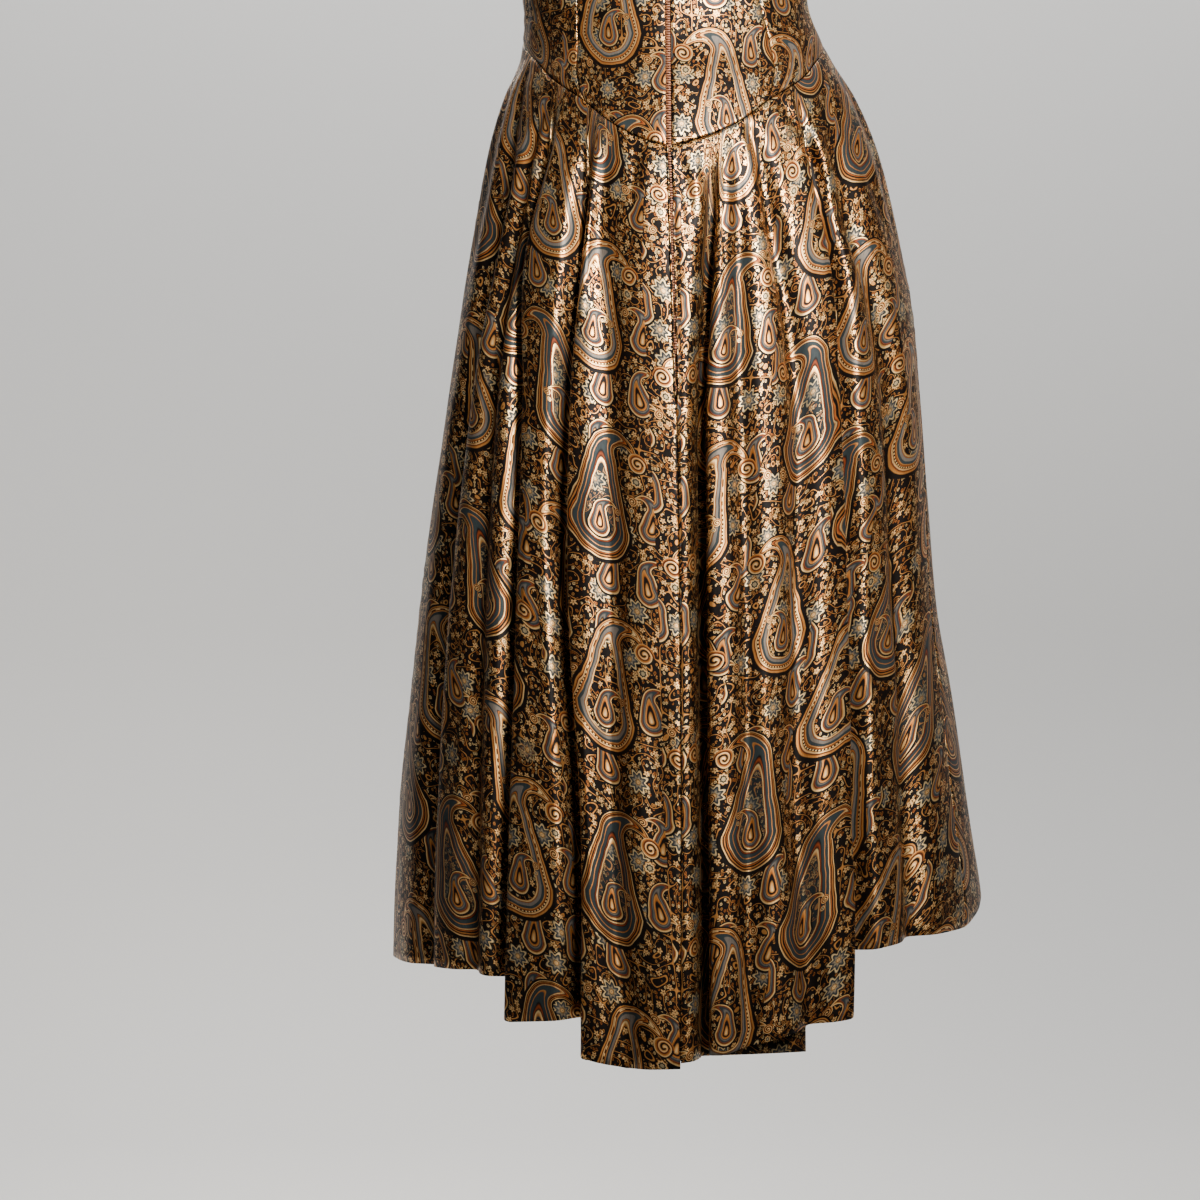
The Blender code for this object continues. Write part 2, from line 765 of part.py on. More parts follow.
# The slider and its pull, in millimetres in the zip's own frame: across, out, up
PLATE_BACK = 0.9
PLATE_FRONT = 2.5
PLATE_WIDTH = 8.4
PLATE_HEIGHT = 11.0
BRIDGE_WIDTH = 1.8
BRIDGE_INNER = 4.7
BRIDGE_OUTER = 6.0
BRIDGE_HEIGHT = 8.5
POST_UP = 3.6
POST_THICKNESS = 1.3
POST_ROOT = 0.6
PIVOT_OUT = 3.7
PIN_RADIUS = 0.6
PIN_LENGTH = 5.6
ARM_ACROSS = 2.5
ARM_WIDTH = 1.2
ARM_THICKNESS = 1.1
ARM_TOP = 0.5
ARM_BOTTOM = -7.9
TAB_WIDTH = 6.4
TAB_THICKNESS = 1.2
TAB_TOP = -7.0
TAB_BOTTOM = -24.0


def make_slider(finish, collection, helpers):
    """The slider's plate with the bridge that holds the pull."""
    place = zip_frame(BACK_NECK[-1].height - SLIDER_DROP)
    middle = Vector((0, 0.5 * (PLATE_BACK + PLATE_FRONT), 0)) * MM
    size = Vector((PLATE_WIDTH, PLATE_FRONT - PLATE_BACK, PLATE_HEIGHT)) * MM
    plate = block("zip_slider", size, middle, 0.5 * MM, place, finish, collection)
    root = PLATE_FRONT - POST_ROOT
    post_size = Vector((BRIDGE_WIDTH, BRIDGE_OUTER - root, POST_THICKNESS)) * MM
    posts = []
    for name, up in (("bridge_top", POST_UP), ("bridge_foot", -POST_UP)):
        centre = Vector((0, 0.5 * (root + BRIDGE_OUTER), up)) * MM
        posts.append(block(name, post_size, centre, 0.2 * MM, place, finish, helpers))
    bar_size = Vector((BRIDGE_WIDTH, BRIDGE_OUTER - BRIDGE_INNER, BRIDGE_HEIGHT)) * MM
    bar_centre = Vector((0, 0.5 * (BRIDGE_OUTER + BRIDGE_INNER), 0)) * MM
    posts.append(block("bridge_bar", bar_size, bar_centre, 0.3 * MM, place, finish, helpers))
    join_all(plate, posts)


def make_pull(finish, collection, helpers):
    """The pull: a pin through the bridge, two arms round its foot and a flat tab."""
    seat = zip_frame(BACK_NECK[-1].height - SLIDER_DROP)
    pivot = seat @ Matrix.Translation((0, PIVOT_OUT * MM, 0))
    size = Vector((TAB_WIDTH, TAB_THICKNESS, TAB_TOP - TAB_BOTTOM)) * MM
    centre = Vector((0, 0, 0.5 * (TAB_TOP + TAB_BOTTOM))) * MM
    tab = block("zip_pull", size, centre, 0.35 * MM, pivot, finish, collection)
    pieces = []
    arm_size = Vector((ARM_WIDTH, ARM_THICKNESS, ARM_TOP - ARM_BOTTOM)) * MM
    for name, across in (("arm_left", ARM_ACROSS), ("arm_right", -ARM_ACROSS)):
        arm_centre = Vector((across, 0, 0.5 * (ARM_TOP + ARM_BOTTOM))) * MM
        pieces.append(block(name, arm_size, arm_centre, 0.2 * MM, pivot, finish, helpers))
    work = bmesh.new()
    bmesh.ops.create_cone(
        work, cap_ends=True, segments=12, radius1=PIN_RADIUS * MM, radius2=PIN_RADIUS * MM,
        depth=PIN_LENGTH * MM, matrix=Matrix.Rotation(math.pi / 2, 4, "Y"),
    )
    mesh = bpy.data.meshes.new("pin")
    work.to_mesh(mesh)
    work.free()
    pin = link("pin", mesh, finish, helpers)
    pin.matrix_world = pivot
    pieces.append(pin)
    join_all(tab, pieces)


def main():
    """Clears the scene and builds the dress."""
    for old in list(bpy.data.objects):
        bpy.data.objects.remove(old, do_unlink=True)
    dress = bpy.data.collections.new("high_low_dress")
    helpers = bpy.data.collections.new("helpers")
    for collection in (dress, helpers):
        bpy.context.scene.collection.children.link(collection)
    brocade = material("brocade", (0.16, 0.09, 0.045), 0.42, 0.25)
    chain = material("zip_coil", (0.30, 0.12, 0.06), 0.45)
    metal = material("zip_metal", (0.55, 0.36, 0.18), 0.3, 1.0)
    make_skirt(brocade, dress)
    make_bodice(brocade, dress)
    make_zip(chain, dress)
    make_slider(metal, dress, helpers)
    make_pull(metal, dress, helpers)


main()
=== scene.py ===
"""Looks of the high-low cocktail dress: brocade, creases, zip and studio round the packed frame.

Metres, +Z up, in the frame of the packed part: the origin on the shoulder line, the back
of the dress towards +Y and the wearer's left towards +X. A bearing is an angle round the
figure in degrees: 0 at the centre back, +90 at the left side, 180 at the centre front.
"""

import logging
import math
from dataclasses import dataclass, field
from enum import Enum
from typing import Callable, NamedTuple, Optional, Sequence, Union

import bmesh
import bpy
import numpy as np
from mathutils import Matrix, Vector


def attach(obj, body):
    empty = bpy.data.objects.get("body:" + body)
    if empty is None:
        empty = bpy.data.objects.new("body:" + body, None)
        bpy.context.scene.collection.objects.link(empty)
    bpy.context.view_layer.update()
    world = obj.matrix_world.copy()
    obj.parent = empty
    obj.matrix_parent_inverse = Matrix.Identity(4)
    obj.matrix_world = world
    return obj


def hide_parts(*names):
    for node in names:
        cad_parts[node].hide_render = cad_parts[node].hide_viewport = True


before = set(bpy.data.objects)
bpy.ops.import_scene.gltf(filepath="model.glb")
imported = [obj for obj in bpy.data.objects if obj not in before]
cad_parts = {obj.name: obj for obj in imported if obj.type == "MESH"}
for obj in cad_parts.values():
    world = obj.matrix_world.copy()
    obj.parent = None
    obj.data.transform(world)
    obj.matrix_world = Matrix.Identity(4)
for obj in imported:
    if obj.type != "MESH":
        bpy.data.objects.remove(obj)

MM = 0.001
BODY = "dress"
log = logging.getLogger("dress")

Array = np.ndarray
Material = bpy.types.Material


def rows_of(kind: type, *rows: tuple) -> tuple:
    """A table, with each of its rows as one kind of tuple."""
    return tuple(kind(*row) for row in rows)


# ---------------------------------------------------------------- tables shared with the part


class Section(NamedTuple):
    """Half-widths and depths of the figure's surface at one height."""

    height: float
    left: float
    right: float
    back: float
    front: float


SECTIONS = rows_of(
    Section,
    (0.030, 0.168, 0.168, 0.070, 0.058),
    (-0.100, 0.163, 0.163, 0.090, 0.086),
    (-0.200, 0.148, 0.148, 0.098, 0.106),
    (-0.260, 0.139, 0.139, 0.096, 0.106),
    (-0.330, 0.121, 0.121, 0.087, 0.094),
    (-0.397, 0.107, 0.106, 0.081, 0.084),
    (-0.442, 0.109, 0.123, 0.092, 0.092),
    (-0.472, 0.121, 0.141, 0.107, 0.101),
    (-0.507, 0.131, 0.156, 0.122, 0.111),
    (-0.547, 0.139, 0.167, 0.134, 0.120),
    (-0.622, 0.152, 0.183, 0.150, 0.134),
    (-0.697, 0.163, 0.190, 0.161, 0.145),
    (-0.772, 0.174, 0.196, 0.170, 0.154),
    (-0.847, 0.184, 0.202, 0.179, 0.162),
    (-0.922, 0.192, 0.214, 0.188, 0.170),
    (-0.997, 0.199, 0.225, 0.197, 0.178),
    (-1.072, 0.203, 0.236, 0.206, 0.186),
    (-1.180, 0.206, 0.240, 0.215, 0.194),
)


class EdgePoint(NamedTuple):
    """A cut edge or seam of the bodice: its bearing from the panel's centre at a height."""

    height: float
    bearing: float


BACK_PRINCESS = rows_of(
    EdgePoint,
    (0.03, 45.0), (-0.20, 41.0), (-0.40, 39.0),
    (-0.455, 36.0), (-0.500, 25.5),
)
FRONT_PRINCESS = rows_of(
    EdgePoint,
    (0.03, 45.0), (-0.10, 42.0), (-0.245, 38.0),
    (-0.40, 37.0), (-0.455, 34.0), (-0.500, 25.5),
)
ARMHOLE = rows_of(
    EdgePoint,
    (0.03, 66.0), (-0.03, 64.0), (-0.075, 59.0),
    (-0.120, 57.0), (-0.155, 60.5), (-0.176, 67.5),
    (-0.190, 77.0), (-0.198, 90.0),
)
BACK_NECK = rows_of(
    EdgePoint,
    (0.030, 24.5), (-0.005, 22.5), (-0.027, 19.0),
    (-0.045, 12.5), (-0.055, 4.5), (-0.058, 0.0),
)
FRONT_NECK = rows_of(
    EdgePoint,
    (0.030, 24.5), (-0.027, 23.0), (-0.045, 21.0),
    (-0.065, 17.0), (-0.077, 12.5), (-0.086, 5.5),
    (-0.088, 0.0),
)


class SeamPoint(NamedTuple):
    """The pointed waist seam: its height at a bearing, the same left and right."""

    bearing: float
    height: float


WAIST_SEAM = rows_of(
    SeamPoint,
    (0.0, -0.523), (10.0, -0.515), (20.0, -0.502),
    (30.0, -0.485), (45.0, -0.467), (60.0, -0.450),
    (90.0, -0.428),
)

LEVELS = (-0.52, -0.60, -0.70, -0.84, -1.00, -1.15)


class Fold(NamedTuple):
    """One fold or seam of the skirt: bearings at LEVELS, millimetres at the hem."""

    name: str
    seam: float
    hip: float
    seat: float
    thigh: float
    knee: float
    hem: float
    depth: float
    mouth: float
    lap: float
    over: int
    hem_before: float
    hem_after: float


FOLDS = rows_of(
    Fold,
    ("centre_front_start", 180, 180, 180, 180, 180, 180, 0, 8, 0, 0, 946, 946),
    ("front_dip_left", 171, 170, 169, 168, 168, 167, 7, 13, 0, 0, 951, 951),
    ("front_left_inner", 160, 158, 156, 155, 154, 153, 22, 9, 30, 1, 962, 974),
    ("front_left_soft", 147, 144, 143, 141, 140, 139, 11, 15, 0, 0, 992, 992),
    ("front_left_outer", 134, 129, 127, 126, 125, 124, 22, 9, 32, 1, 1012, 1036),
    ("front_left_hip", 114, 111, 110, 109, 108, 107, 11, 15, 0, 0, 1066, 1066),
    ("side_left", 90, 90, 90, 90, 90, 90, 0, 8, 0, 0, 1112, 1112),
    ("back_left_side", 61, 63, 67, 65, 62, 60, 10, 12, 0, 0, 1110, 1110),
    ("back_left_soft", 49, 53, 53, 49, 45.5, 44.5, 9, 9, 0, 0, 1109, 1109),
    ("back_left_outer", 40, 45.5, 40.8, 37, 35.2, 35.2, 22, 6, 34, -1, 1113, 1142),
    ("back_left_inner", 24.6, 25.5, 26.2, 23.7, 18.8, 18.1, 23.5, 7, 32, -1, 1138, 1165),
    ("back_left_trough", 16.5, 17.5, 15.7, 13.2, 12.0, 9.0, 11, 12, 0, 0, 1171, 1171),
    ("centre_back", 0, -0.7, -1.5, -1.9, -1.9, -1.6, 0, 8, 0, 0, 1170, 1166),
    ("back_right_inner", -12.0, -10.3, -8.1, -7.7, -7.2, -6.8, 23.5, 3, 72, -1, 1164, 1161),
    ("back_right_soft", -17, -16.0, -15.6, -15.7, -14.3, -13.2, 8, 8, 0, 0, 1156, 1156),
    ("back_right_trough", -23, -26.7, -29.6, -27.5, -24, -25, 11, 11, 0, 0, 1143, 1143),
    ("back_right_outer", -39, -41, -40.8, -39.5, -35, -32.7, 22, 6, 28, 1, 1140, 1094),
    ("back_right_soft_side", -50, -53, -59, -57.5, -51, -47, 11, 13, 0, 0, 1087, 1087),
    ("side_right", -90, -88, -82, -74, -68, -64, 0, 8, 0, 0, 1084, 1084),
    ("front_right_hip", -113, -110, -107, -104, -103, -102, 12, 16, 0, 0, 1052, 1052),
    ("front_right_outer", -132, -128, -126, -124, -123, -122, 22, 9, 30, -1, 1030, 1008),
    ("front_right_soft", -147, -144, -142, -141, -140, -140, 10, 14, 0, 0, 984, 984),
    ("front_right_inner", -160, -158, -156, -155, -154, -154, 22, 9, 30, -1, 972, 960),
    ("front_dip_right", -171, -170, -170, -169, -169, -168, 8, 13, 0, 0, 951, 951),
    ("centre_front_end", -180, -180, -180, -180, -180, -180, 0, 8, 0, 0, 946, 946),
)


class LapStep(NamedTuple):
    """A place across a lapped fold: share of the lap, millimetres across and in."""

    share: float
    across: float
    inward: float


LAP_RUN = rows_of(
    LapStep,
    (0.00, 7.0, 0.0), (0.00, 1.8, 1.0), (0.00, 0.0, 4.0),
    (0.00, 2.6, 8.6), (0.50, 0.5, 15.6), (1.00, -2.8, 17.4),
    (1.00, 0.0, 20.0), (1.00, -2.8, 22.6), (0.50, -0.5, 23.5),
    (0.00, -1.0, 22.5), (0.00, -4.5, 18.0),
)
LAP_RUN_DEPTH = 23.5


# ---------------------------------------------------------------- curves and the figure


def smooth_step(value: Array) -> Array:
    """0 below 0, 1 above 1, and a soft S between."""
    share = np.clip(value, 0.0, 1.0)
    return share * share * (3.0 - 2.0 * share)


class Curve:
    """A smooth curve through the rows of a short table."""

    def __init__(self, places: Sequence[float], values: Sequence[float]) -> None:
        """Takes the places along the table and the value at each."""
        order = np.argsort(places)
        self.places = np.asarray(places, float)[order]
        self.values = np.asarray(values, float)[order]
        rows = np.arange(len(order))
        before, after = np.maximum(rows - 1, 0), np.minimum(rows + 1, len(order) - 1)
        rise = self.values[after] - self.values[before]
        self.slopes = rise / (self.places[after] - self.places[before])

    def __call__(self, at: Array) -> Array:
        """The value at each place; beyond the table its end values hold."""
        at = np.clip(at, self.places[0], self.places[-1])
        low = np.clip(np.searchsorted(self.places, at, side="right") - 1, 0, len(self.places) - 2)
        span = self.places[low + 1] - self.places[low]
        share = (at - self.places[low]) / span
        rest = 1.0 - share
        return (
            self.values[low] * rest * rest * (1.0 + 2.0 * share)
            + self.values[low + 1] * share * share * (1.0 + 2.0 * rest)
            + self.slopes[low] * span * share * rest * rest
            - self.slopes[low + 1] * span * share * share * rest
        )


HEIGHTS, *SIDES = zip(*SECTIONS)


@dataclass(frozen=True)
class Figure:
    """The surface that the dress stands on: elliptical sections, shoulders and bust."""

    shoulder_slope: float = 0.36
    shoulder_start: float = 0.065
    shoulder_roll: float = 0.09
    bust_height: float = -0.245
    bust_bearing: float = 142.0
    bust_breadth: float = 24.0
    bust_depth: float = 0.020
    bust_spread: float = 0.058
    blend_slope: float = 1.5
    left: Curve = Curve(HEIGHTS, SIDES[0])
    right: Curve = Curve(HEIGHTS, SIDES[1])
    back: Curve = Curve(HEIGHTS, SIDES[2])
    front: Curve = Curve(HEIGHTS, SIDES[3])

    def half_sizes(self, angle: Array, height: Array) -> tuple[Array, Array]:
        """Half-width and depth towards an angle in radians, at a height."""
        leftward = smooth_step(0.5 + self.blend_slope * np.sin(angle))
        width = self.right(height) + (self.left(height) - self.right(height)) * leftward
        return width, np.where(np.cos(angle) >= 0.0, self.back(height), self.front(height))

    def shoulder_line(self, across: Array) -> Array:
        """Height of the shoulder seam at a distance from the middle."""
        return -(np.abs(across) - self.shoulder_start) * self.shoulder_slope

    def point(self, bearing: Array, height: Array, stand_off: Union[float, Array] = 0.0) -> Array:
        """Points at bearings and heights, a stand-off out from the surface.

        Args:
            bearing: degrees round the figure.
            height: metres, of the same shape.
            stand_off: metres out.

        Returns:
            The points, with one more axis of length three.
        """
        angle = np.radians(bearing)
        width, depth = self.half_sizes(angle, height)
        across = width * np.sin(angle)
        drop = np.maximum(self.shoulder_line(across) - height, 0.0)
        under = np.minimum(drop / self.shoulder_roll, 1.0)
        along = depth * np.cos(angle) * np.sqrt(under * (2.0 - under))
        out = np.stack([np.sin(angle) / width, np.cos(angle) / depth, np.zeros_like(width)], -1)
        out /= np.linalg.norm(out, axis=-1, keepdims=True)
        bust = np.exp(
            -(((height - self.bust_height) / self.bust_spread) ** 2)
            - ((np.abs(bearing) - self.bust_bearing) / self.bust_breadth) ** 2
        )
        places = np.stack([across, along, height + np.zeros_like(across)], -1)
        return places + out * (stand_off + self.bust_depth * bust)[..., None]

    def degrees_for(self, distance: Union[float, Array], bearing: Array, height: Array) -> Array:
        """The change of bearing that spans a distance on the surface."""
        angle = np.radians(bearing)
        width, depth = self.half_sizes(angle, height)
        return np.degrees(distance / np.hypot(width * np.cos(angle), depth * np.sin(angle)))


FIGURE = Figure()
SEAM_CURVE = Curve(*zip(*WAIST_SEAM))


def waist_seam(bearing: Array) -> Array:
    """Height of the waist seam, which has the same pointed line back and front."""
    turned = np.abs(bearing)
    return SEAM_CURVE(np.where(turned > 90.0, 180.0 - turned, turned))


# ---------------------------------------------------------------- creases


class Crease(NamedTuple):
    """A soft trough, or a ridge where its depth is negative, along a bent line.

    The line runs from its top by a middle to its foot, each a bearing and a height.
    Depth and width are in millimetres.
    """

    top: float
    top_height: float
    middle: float
    middle_height: float
    foot: float
    foot_height: float
    depth: float
    width: float


CREASES = rows_of(
    Crease,
    # back of the skirt, wearer's right
    (-1.5, -0.524, -4.5, -0.558, -6.1, -0.605, 2.4, 4.0),
    (-8.8, -0.517, -10.4, -0.554, -10.8, -0.590, 2.6, 4.5),
    (-13.8, -0.514, -14.6, -0.560, -13.6, -0.640, -1.8, 5.0),
    (-18.8, -0.499, -24.4, -0.539, -26.6, -0.640, 3.2, 5.0),
    (-25.1, -0.561, -27.7, -0.641, -29.5, -0.730, 1.8, 6.0),
    (-29.4, -0.479, -40.4, -0.519, -47.8, -0.600, 3.4, 6.0),
    (-36.0, -0.493, -41.3, -0.551, -40.7, -0.680, 2.4, 5.0),
    (-45.7, -0.543, -60.2, -0.653, -64.9, -0.760, 3.0, 7.0),
    (-50.0, -0.470, -62.0, -0.520, -72.0, -0.610, 2.0, 7.0),
    (-72.0, -0.445, -76.0, -0.520, -75.0, -0.640, 1.8, 9.0),
    # back of the skirt, wearer's left
    (8.9, -0.520, 10.3, -0.555, 10.9, -0.610, 2.0, 4.5),
    (17.6, -0.510, 20.3, -0.565, 19.9, -0.640, 2.6, 5.0),
    (24.6, -0.505, 26.3, -0.539, 26.5, -0.590, 2.0, 4.0),
    (40.9, -0.480, 45.0, -0.541, 46.5, -0.590, 2.8, 5.0),
    (43.1, -0.475, 47.7, -0.506, 54.4, -0.548, 2.6, 5.0),
    (47.2, -0.510, 52.6, -0.593, 52.9, -0.720, 2.4, 7.0),
    (61.0, -0.520, 65.0, -0.628, 66.8, -0.757, 2.4, 8.0),
    (66.0, -0.452, 62.9, -0.497, 65.0, -0.560, 2.2, 6.0),
    (78.0, -0.440, 76.0, -0.520, 78.0, -0.630, 1.8, 8.0),
    # bends low in the skirt, where folds swing over
    (6.0, -0.900, 2.5, -0.980, 5.5, -1.090, 1.8, 9.0),
    (27.0, -0.760, 30.5, -0.850, 28.0, -0.960, 2.0, 9.0),
    (-18.0, -0.820, -20.5, -0.900, -18.5, -1.010, 2.0, 9.0),
    (-44.0, -0.800, -46.5, -0.900, -43.0, -1.000, 2.2, 10.0),
    (56.0, -0.820, 52.5, -0.900, 54.5, -1.020, 2.0, 10.0),
    # front of the skirt
    (172.0, -0.520, 168.0, -0.570, 166.0, -0.660, 2.2, 5.0),
    (163.0, -0.505, 160.0, -0.550, 161.5, -0.620, 2.6, 5.0),
    (150.0, -0.490, 143.0, -0.550, 141.0, -0.660, 2.8, 6.0),
    (137.0, -0.472, 131.0, -0.530, 132.5, -0.600, 2.4, 5.0),
    (122.0, -0.460, 114.0, -0.540, 111.0, -0.670, 2.6, 7.0),
    (103.0, -0.440, 100.0, -0.520, 101.0, -0.650, 2.0, 8.0),
    (-170.0, -0.520, -166.5, -0.580, -165.0, -0.680, 2.2, 5.0),
    (-162.0, -0.505, -159.0, -0.545, -160.0, -0.610, 2.6, 5.0),
    (-148.0, -0.490, -144.0, -0.560, -141.0, -0.670, 2.6, 6.0),
    (-134.0, -0.470, -128.0, -0.530, -130.0, -0.610, 2.6, 5.0),
    (-119.0, -0.458, -112.0, -0.540, -110.0, -0.680, 2.6, 7.0),
    (-101.0, -0.440, -99.0, -0.520, -100.0, -0.640, 1.8, 8.0),
    (178.0, -0.700, 175.5, -0.790, 178.0, -0.890, 2.0, 9.0),
    (-148.0, -0.740, -151.0, -0.830, -147.5, -0.930, 2.0, 9.0),
    (146.0, -0.760, 149.5, -0.850, 147.0, -0.940, 2.0, 9.0),
    # bodice: drawn in at the waist, over the bust and under the arms
    (-2.8, -0.427, -5.1, -0.438, -9.0, -0.452, 1.2, 4.0),
    (3.0, -0.405, 8.0, -0.396, 15.0, -0.394, 1.0, 5.0),
    (-4.0, -0.384, -10.0, -0.378, -18.0, -0.381, 1.0, 5.0),
    (50.0, -0.400, 62.0, -0.388, 76.0, -0.392, 1.3, 5.0),
    (-48.0, -0.396, -60.0, -0.384, -74.0, -0.390, 1.3, 5.0),
    (56.0, -0.420, 66.0, -0.412, 78.0, -0.414, 1.0, 4.5),
    (58.0, -0.178, 50.0, -0.200, 44.0, -0.236, 1.2, 6.0),
    (-58.0, -0.176, -51.0, -0.202, -45.0, -0.240, 1.2, 6.0),
    (105.0, -0.396, 118.0, -0.388, 132.0, -0.392, 1.2, 5.0),
    (-106.0, -0.392, -119.0, -0.382, -131.0, -0.388, 1.2, 5.0),
    (112.0, -0.215, 122.0, -0.228, 131.0, -0.236, 1.3, 6.0),
    (-111.0, -0.213, -121.0, -0.227, -130.0, -0.238, 1.3, 6.0),
    (152.0, -0.330, 160.0, -0.356, 163.0, -0.386, 1.0, 6.0),
    (-151.0, -0.328, -160.0, -0.352, -164.0, -0.384, 1.0, 6.0),
)


class Wave(NamedTuple):
    """A slow wave of the cloth: waves round the figure, its rise, start and share."""

    turns: int
    rise: float
    start: float
    share: float


WAVES = rows_of(Wave, (9, 5.3, 0.3, 0.45), (17, 8.9, 1.7, 0.3), (31, 13.7, 2.9, 0.25))


@dataclass(frozen=True)
class CreaseField:
    """All creases of the cloth, and the slight unevenness between them.

    A crease's reach is in its own widths, and so are the place and the spread of the low
    shoulder beside it.
    """

    steps: int = 28
    reach: float = 4.0
    taper: float = 0.8
    shoulder: float = 0.35
    shoulder_place: float = 1.7
    shoulder_spread: float = 0.6
    ripple: float = 0.9 * MM
    ripple_rise: float = 3.1

    def depth_at(self, bearing: Array, height: Array) -> Array:
        """How far the cloth lies in at bearings and heights, in metres."""
        inward = self.unevenness(bearing, height)
        for crease in CREASES:
            inward = inward + self.one(crease, bearing, height)
        return inward

    def unevenness(self, bearing: Array, height: Array) -> Array:
        """Slow waves of the cloth, in metres."""
        waves = np.zeros_like(height)
        for wave in WAVES:
            turn = np.radians(bearing) * wave.turns + 2.0 * wave.rise * height + wave.start
            fall = self.ripple_rise * wave.rise * height + 2.0 * wave.start
            waves = waves + wave.share * np.sin(turn) * np.sin(fall)
        return self.ripple * waves

    def bent(self, top: float, middle: float, foot: float) -> Array:
        """A bearing or a height on its way from a crease's top by its middle to its foot."""
        share = np.linspace(0.0, 1.0, self.steps)
        rest = 1.0 - share
        control = 2.0 * middle - 0.5 * (top + foot)
        return rest**2 * top + 2.0 * share * rest * control + share**2 * foot

    def one(self, crease: Crease, bearing: Array, height: Array) -> Array:
        """The depth of one crease at bearings and heights, in metres."""
        line = self.bent(crease.top, crease.middle, crease.foot)
        line_height = self.bent(crease.top_height, crease.middle_height, crease.foot_height)
        width = crease.width * MM
        reach = self.reach * width
        middle = np.array(np.mean(line)), np.array(np.mean(line_height))
        degree = 1.0 / FIGURE.degrees_for(1.0, *middle)
        inside = (
            (height < line_height.max() + reach) & (height > line_height.min() - reach)
            & (bearing > line.min() - reach / degree) & (bearing < line.max() + reach / degree)
        )
        depth = np.zeros_like(height)
        if not inside.any():
            return depth
        place = np.stack([bearing[inside] * degree, height[inside]], -1)
        path = np.stack([line * degree, line_height], -1)
        best = np.full(len(place), np.inf)
        along = np.zeros(len(place))
        for i in range(self.steps - 1):
            run = path[i + 1] - path[i]
            part = np.clip((place - path[i]) @ run / (run @ run), 0.0, 1.0)
            away = np.linalg.norm(place - path[i] - part[:, None] * run, axis=-1)
            nearer = away < best
            best = np.where(nearer, away, best)
            along = np.where(nearer, (i + part) / (self.steps - 1), along)
        taper = np.sin(np.pi * np.clip(along, 0.0, 1.0)) ** self.taper
        size = best / width
        beside = np.exp(-((size - self.shoulder_place) ** 2) / self.shoulder_spread)
        form = np.exp(-(size**2)) - self.shoulder * beside
        depth[inside] = crease.depth * MM * taper * form
        return depth


CREASE_FIELD = CreaseField()


@dataclass(frozen=True)
class SeamRelief:
    """How the cloth turns in beside a seam, and the small puckers along it."""

    roll: float = 0.6 * MM
    roll_width: float = 1.4 * MM
    pucker: float = 0.32 * MM
    pucker_width: float = 7.0 * MM
    pucker_length: float = 17.0 * MM
    wobble: float = 1.3
    wobble_rate: float = 0.37

    def depth_at(self, points: Array, columns: Sequence[int], rows: Sequence[int]) -> Array:
        """How far the cloth lies in beside some columns and rows of a grid, in metres."""
        depth = np.zeros(points.shape[:2])
        seams = [(points[:, [column]], points[:, [column], 2]) for column in columns]
        seams += [(points[[row]], points[[row], :, 0]) for row in rows]
        for seam, along in seams:
            away = np.linalg.norm(points - seam, axis=-1)
            turn = math.tau * along / self.pucker_length
            wave = np.sin(turn + self.wobble * np.sin(self.wobble_rate * turn))
            depth = depth + self.roll * np.exp(-((away / self.roll_width) ** 2))
            depth = depth + self.pucker * wave * np.exp(-((away / self.pucker_width) ** 2))
        return depth


SEAM_RELIEF = SeamRelief()


# ---------------------------------------------------------------- cloth sheets


class Side(Enum):
    """Side of the dress, as the sign of its bearings."""

    LEFT = 1.0
    RIGHT = -1.0

    def turned(self, bearing: Array, back: bool) -> Array:
        """A bearing round the figure, from one off the middle of the back or front."""
        return self.value * (bearing if back else 180.0 - bearing)


def lengths_along(points: Array, axis: int) -> Array:
    """Distance along the cloth from the first row or column, at each point."""
    steps = np.linalg.norm(np.diff(points, axis=axis), axis=-1)
    start = np.zeros_like(np.take(steps, [0], axis))
    return np.concatenate([start, np.cumsum(steps, axis=axis)], axis=axis)


def strip(top: float, bottom: float, half: float, rows: int, columns: int) -> list[Array]:
    """Heights, and distances aside of the middle, over a narrow strip of cloth."""
    heights = np.linspace(top, bottom, rows)[:, None]
    return list(np.broadcast_arrays(heights, np.linspace(-half, half, columns)[None, :]))


@dataclass
class ClothGrid:
    """A sheet's points in rows and columns, with the cloth's own coordinates at each.

    The faces between column split and the next are left out, and the two columns are
    joined wherever they meet.
    """

    points: Array
    flat: Array
    split: Optional[int] = None

    def normals(self) -> Array:
        """Unit normals of the grid, outwards over most of it."""
        across = np.gradient(self.points, axis=1)
        up = np.gradient(self.points, axis=0)
        normal = np.cross(across, up)
        normal /= np.maximum(np.linalg.norm(normal, axis=-1, keepdims=True), 1e-12)
        outward = self.points * np.array([1.0, 1.0, 0.0])
        return normal if np.sum(normal * outward) > 0.0 else -normal

    def pressed(self, inward: Array) -> "ClothGrid":
        """The same grid with each point moved in along its normal."""
        return ClothGrid(self.points - self.normals() * inward[..., None], self.flat)

    def area(self) -> float:
        """Area of the sheet in square metres."""
        one = np.diff(self.points, axis=1)[:-1]
        two = np.diff(self.points, axis=0)[:, :-1]
        each = np.linalg.norm(np.cross(one, two), axis=-1)
        if self.split is not None:
            each[:, self.split] = 0.0
        return float(each.sum())

    def beside(self, other: "ClothGrid") -> "ClothGrid":
        """This grid and a mirrored one as one sheet, joined at their first columns."""
        mine, theirs = self.points.copy(), other.points.copy()
        meet = np.linalg.norm(mine[:, 0] - theirs[:, 0], axis=-1) < 2.0 * MM
        mine[meet, 0] = theirs[meet, 0] = 0.5 * (mine[meet, 0] + theirs[meet, 0])
        points = np.concatenate([theirs[:, ::-1], mine], axis=1)
        flat = np.concatenate([other.flat[:, ::-1], self.flat], axis=1)
        return ClothGrid(points, flat, other.points.shape[1] - 1)


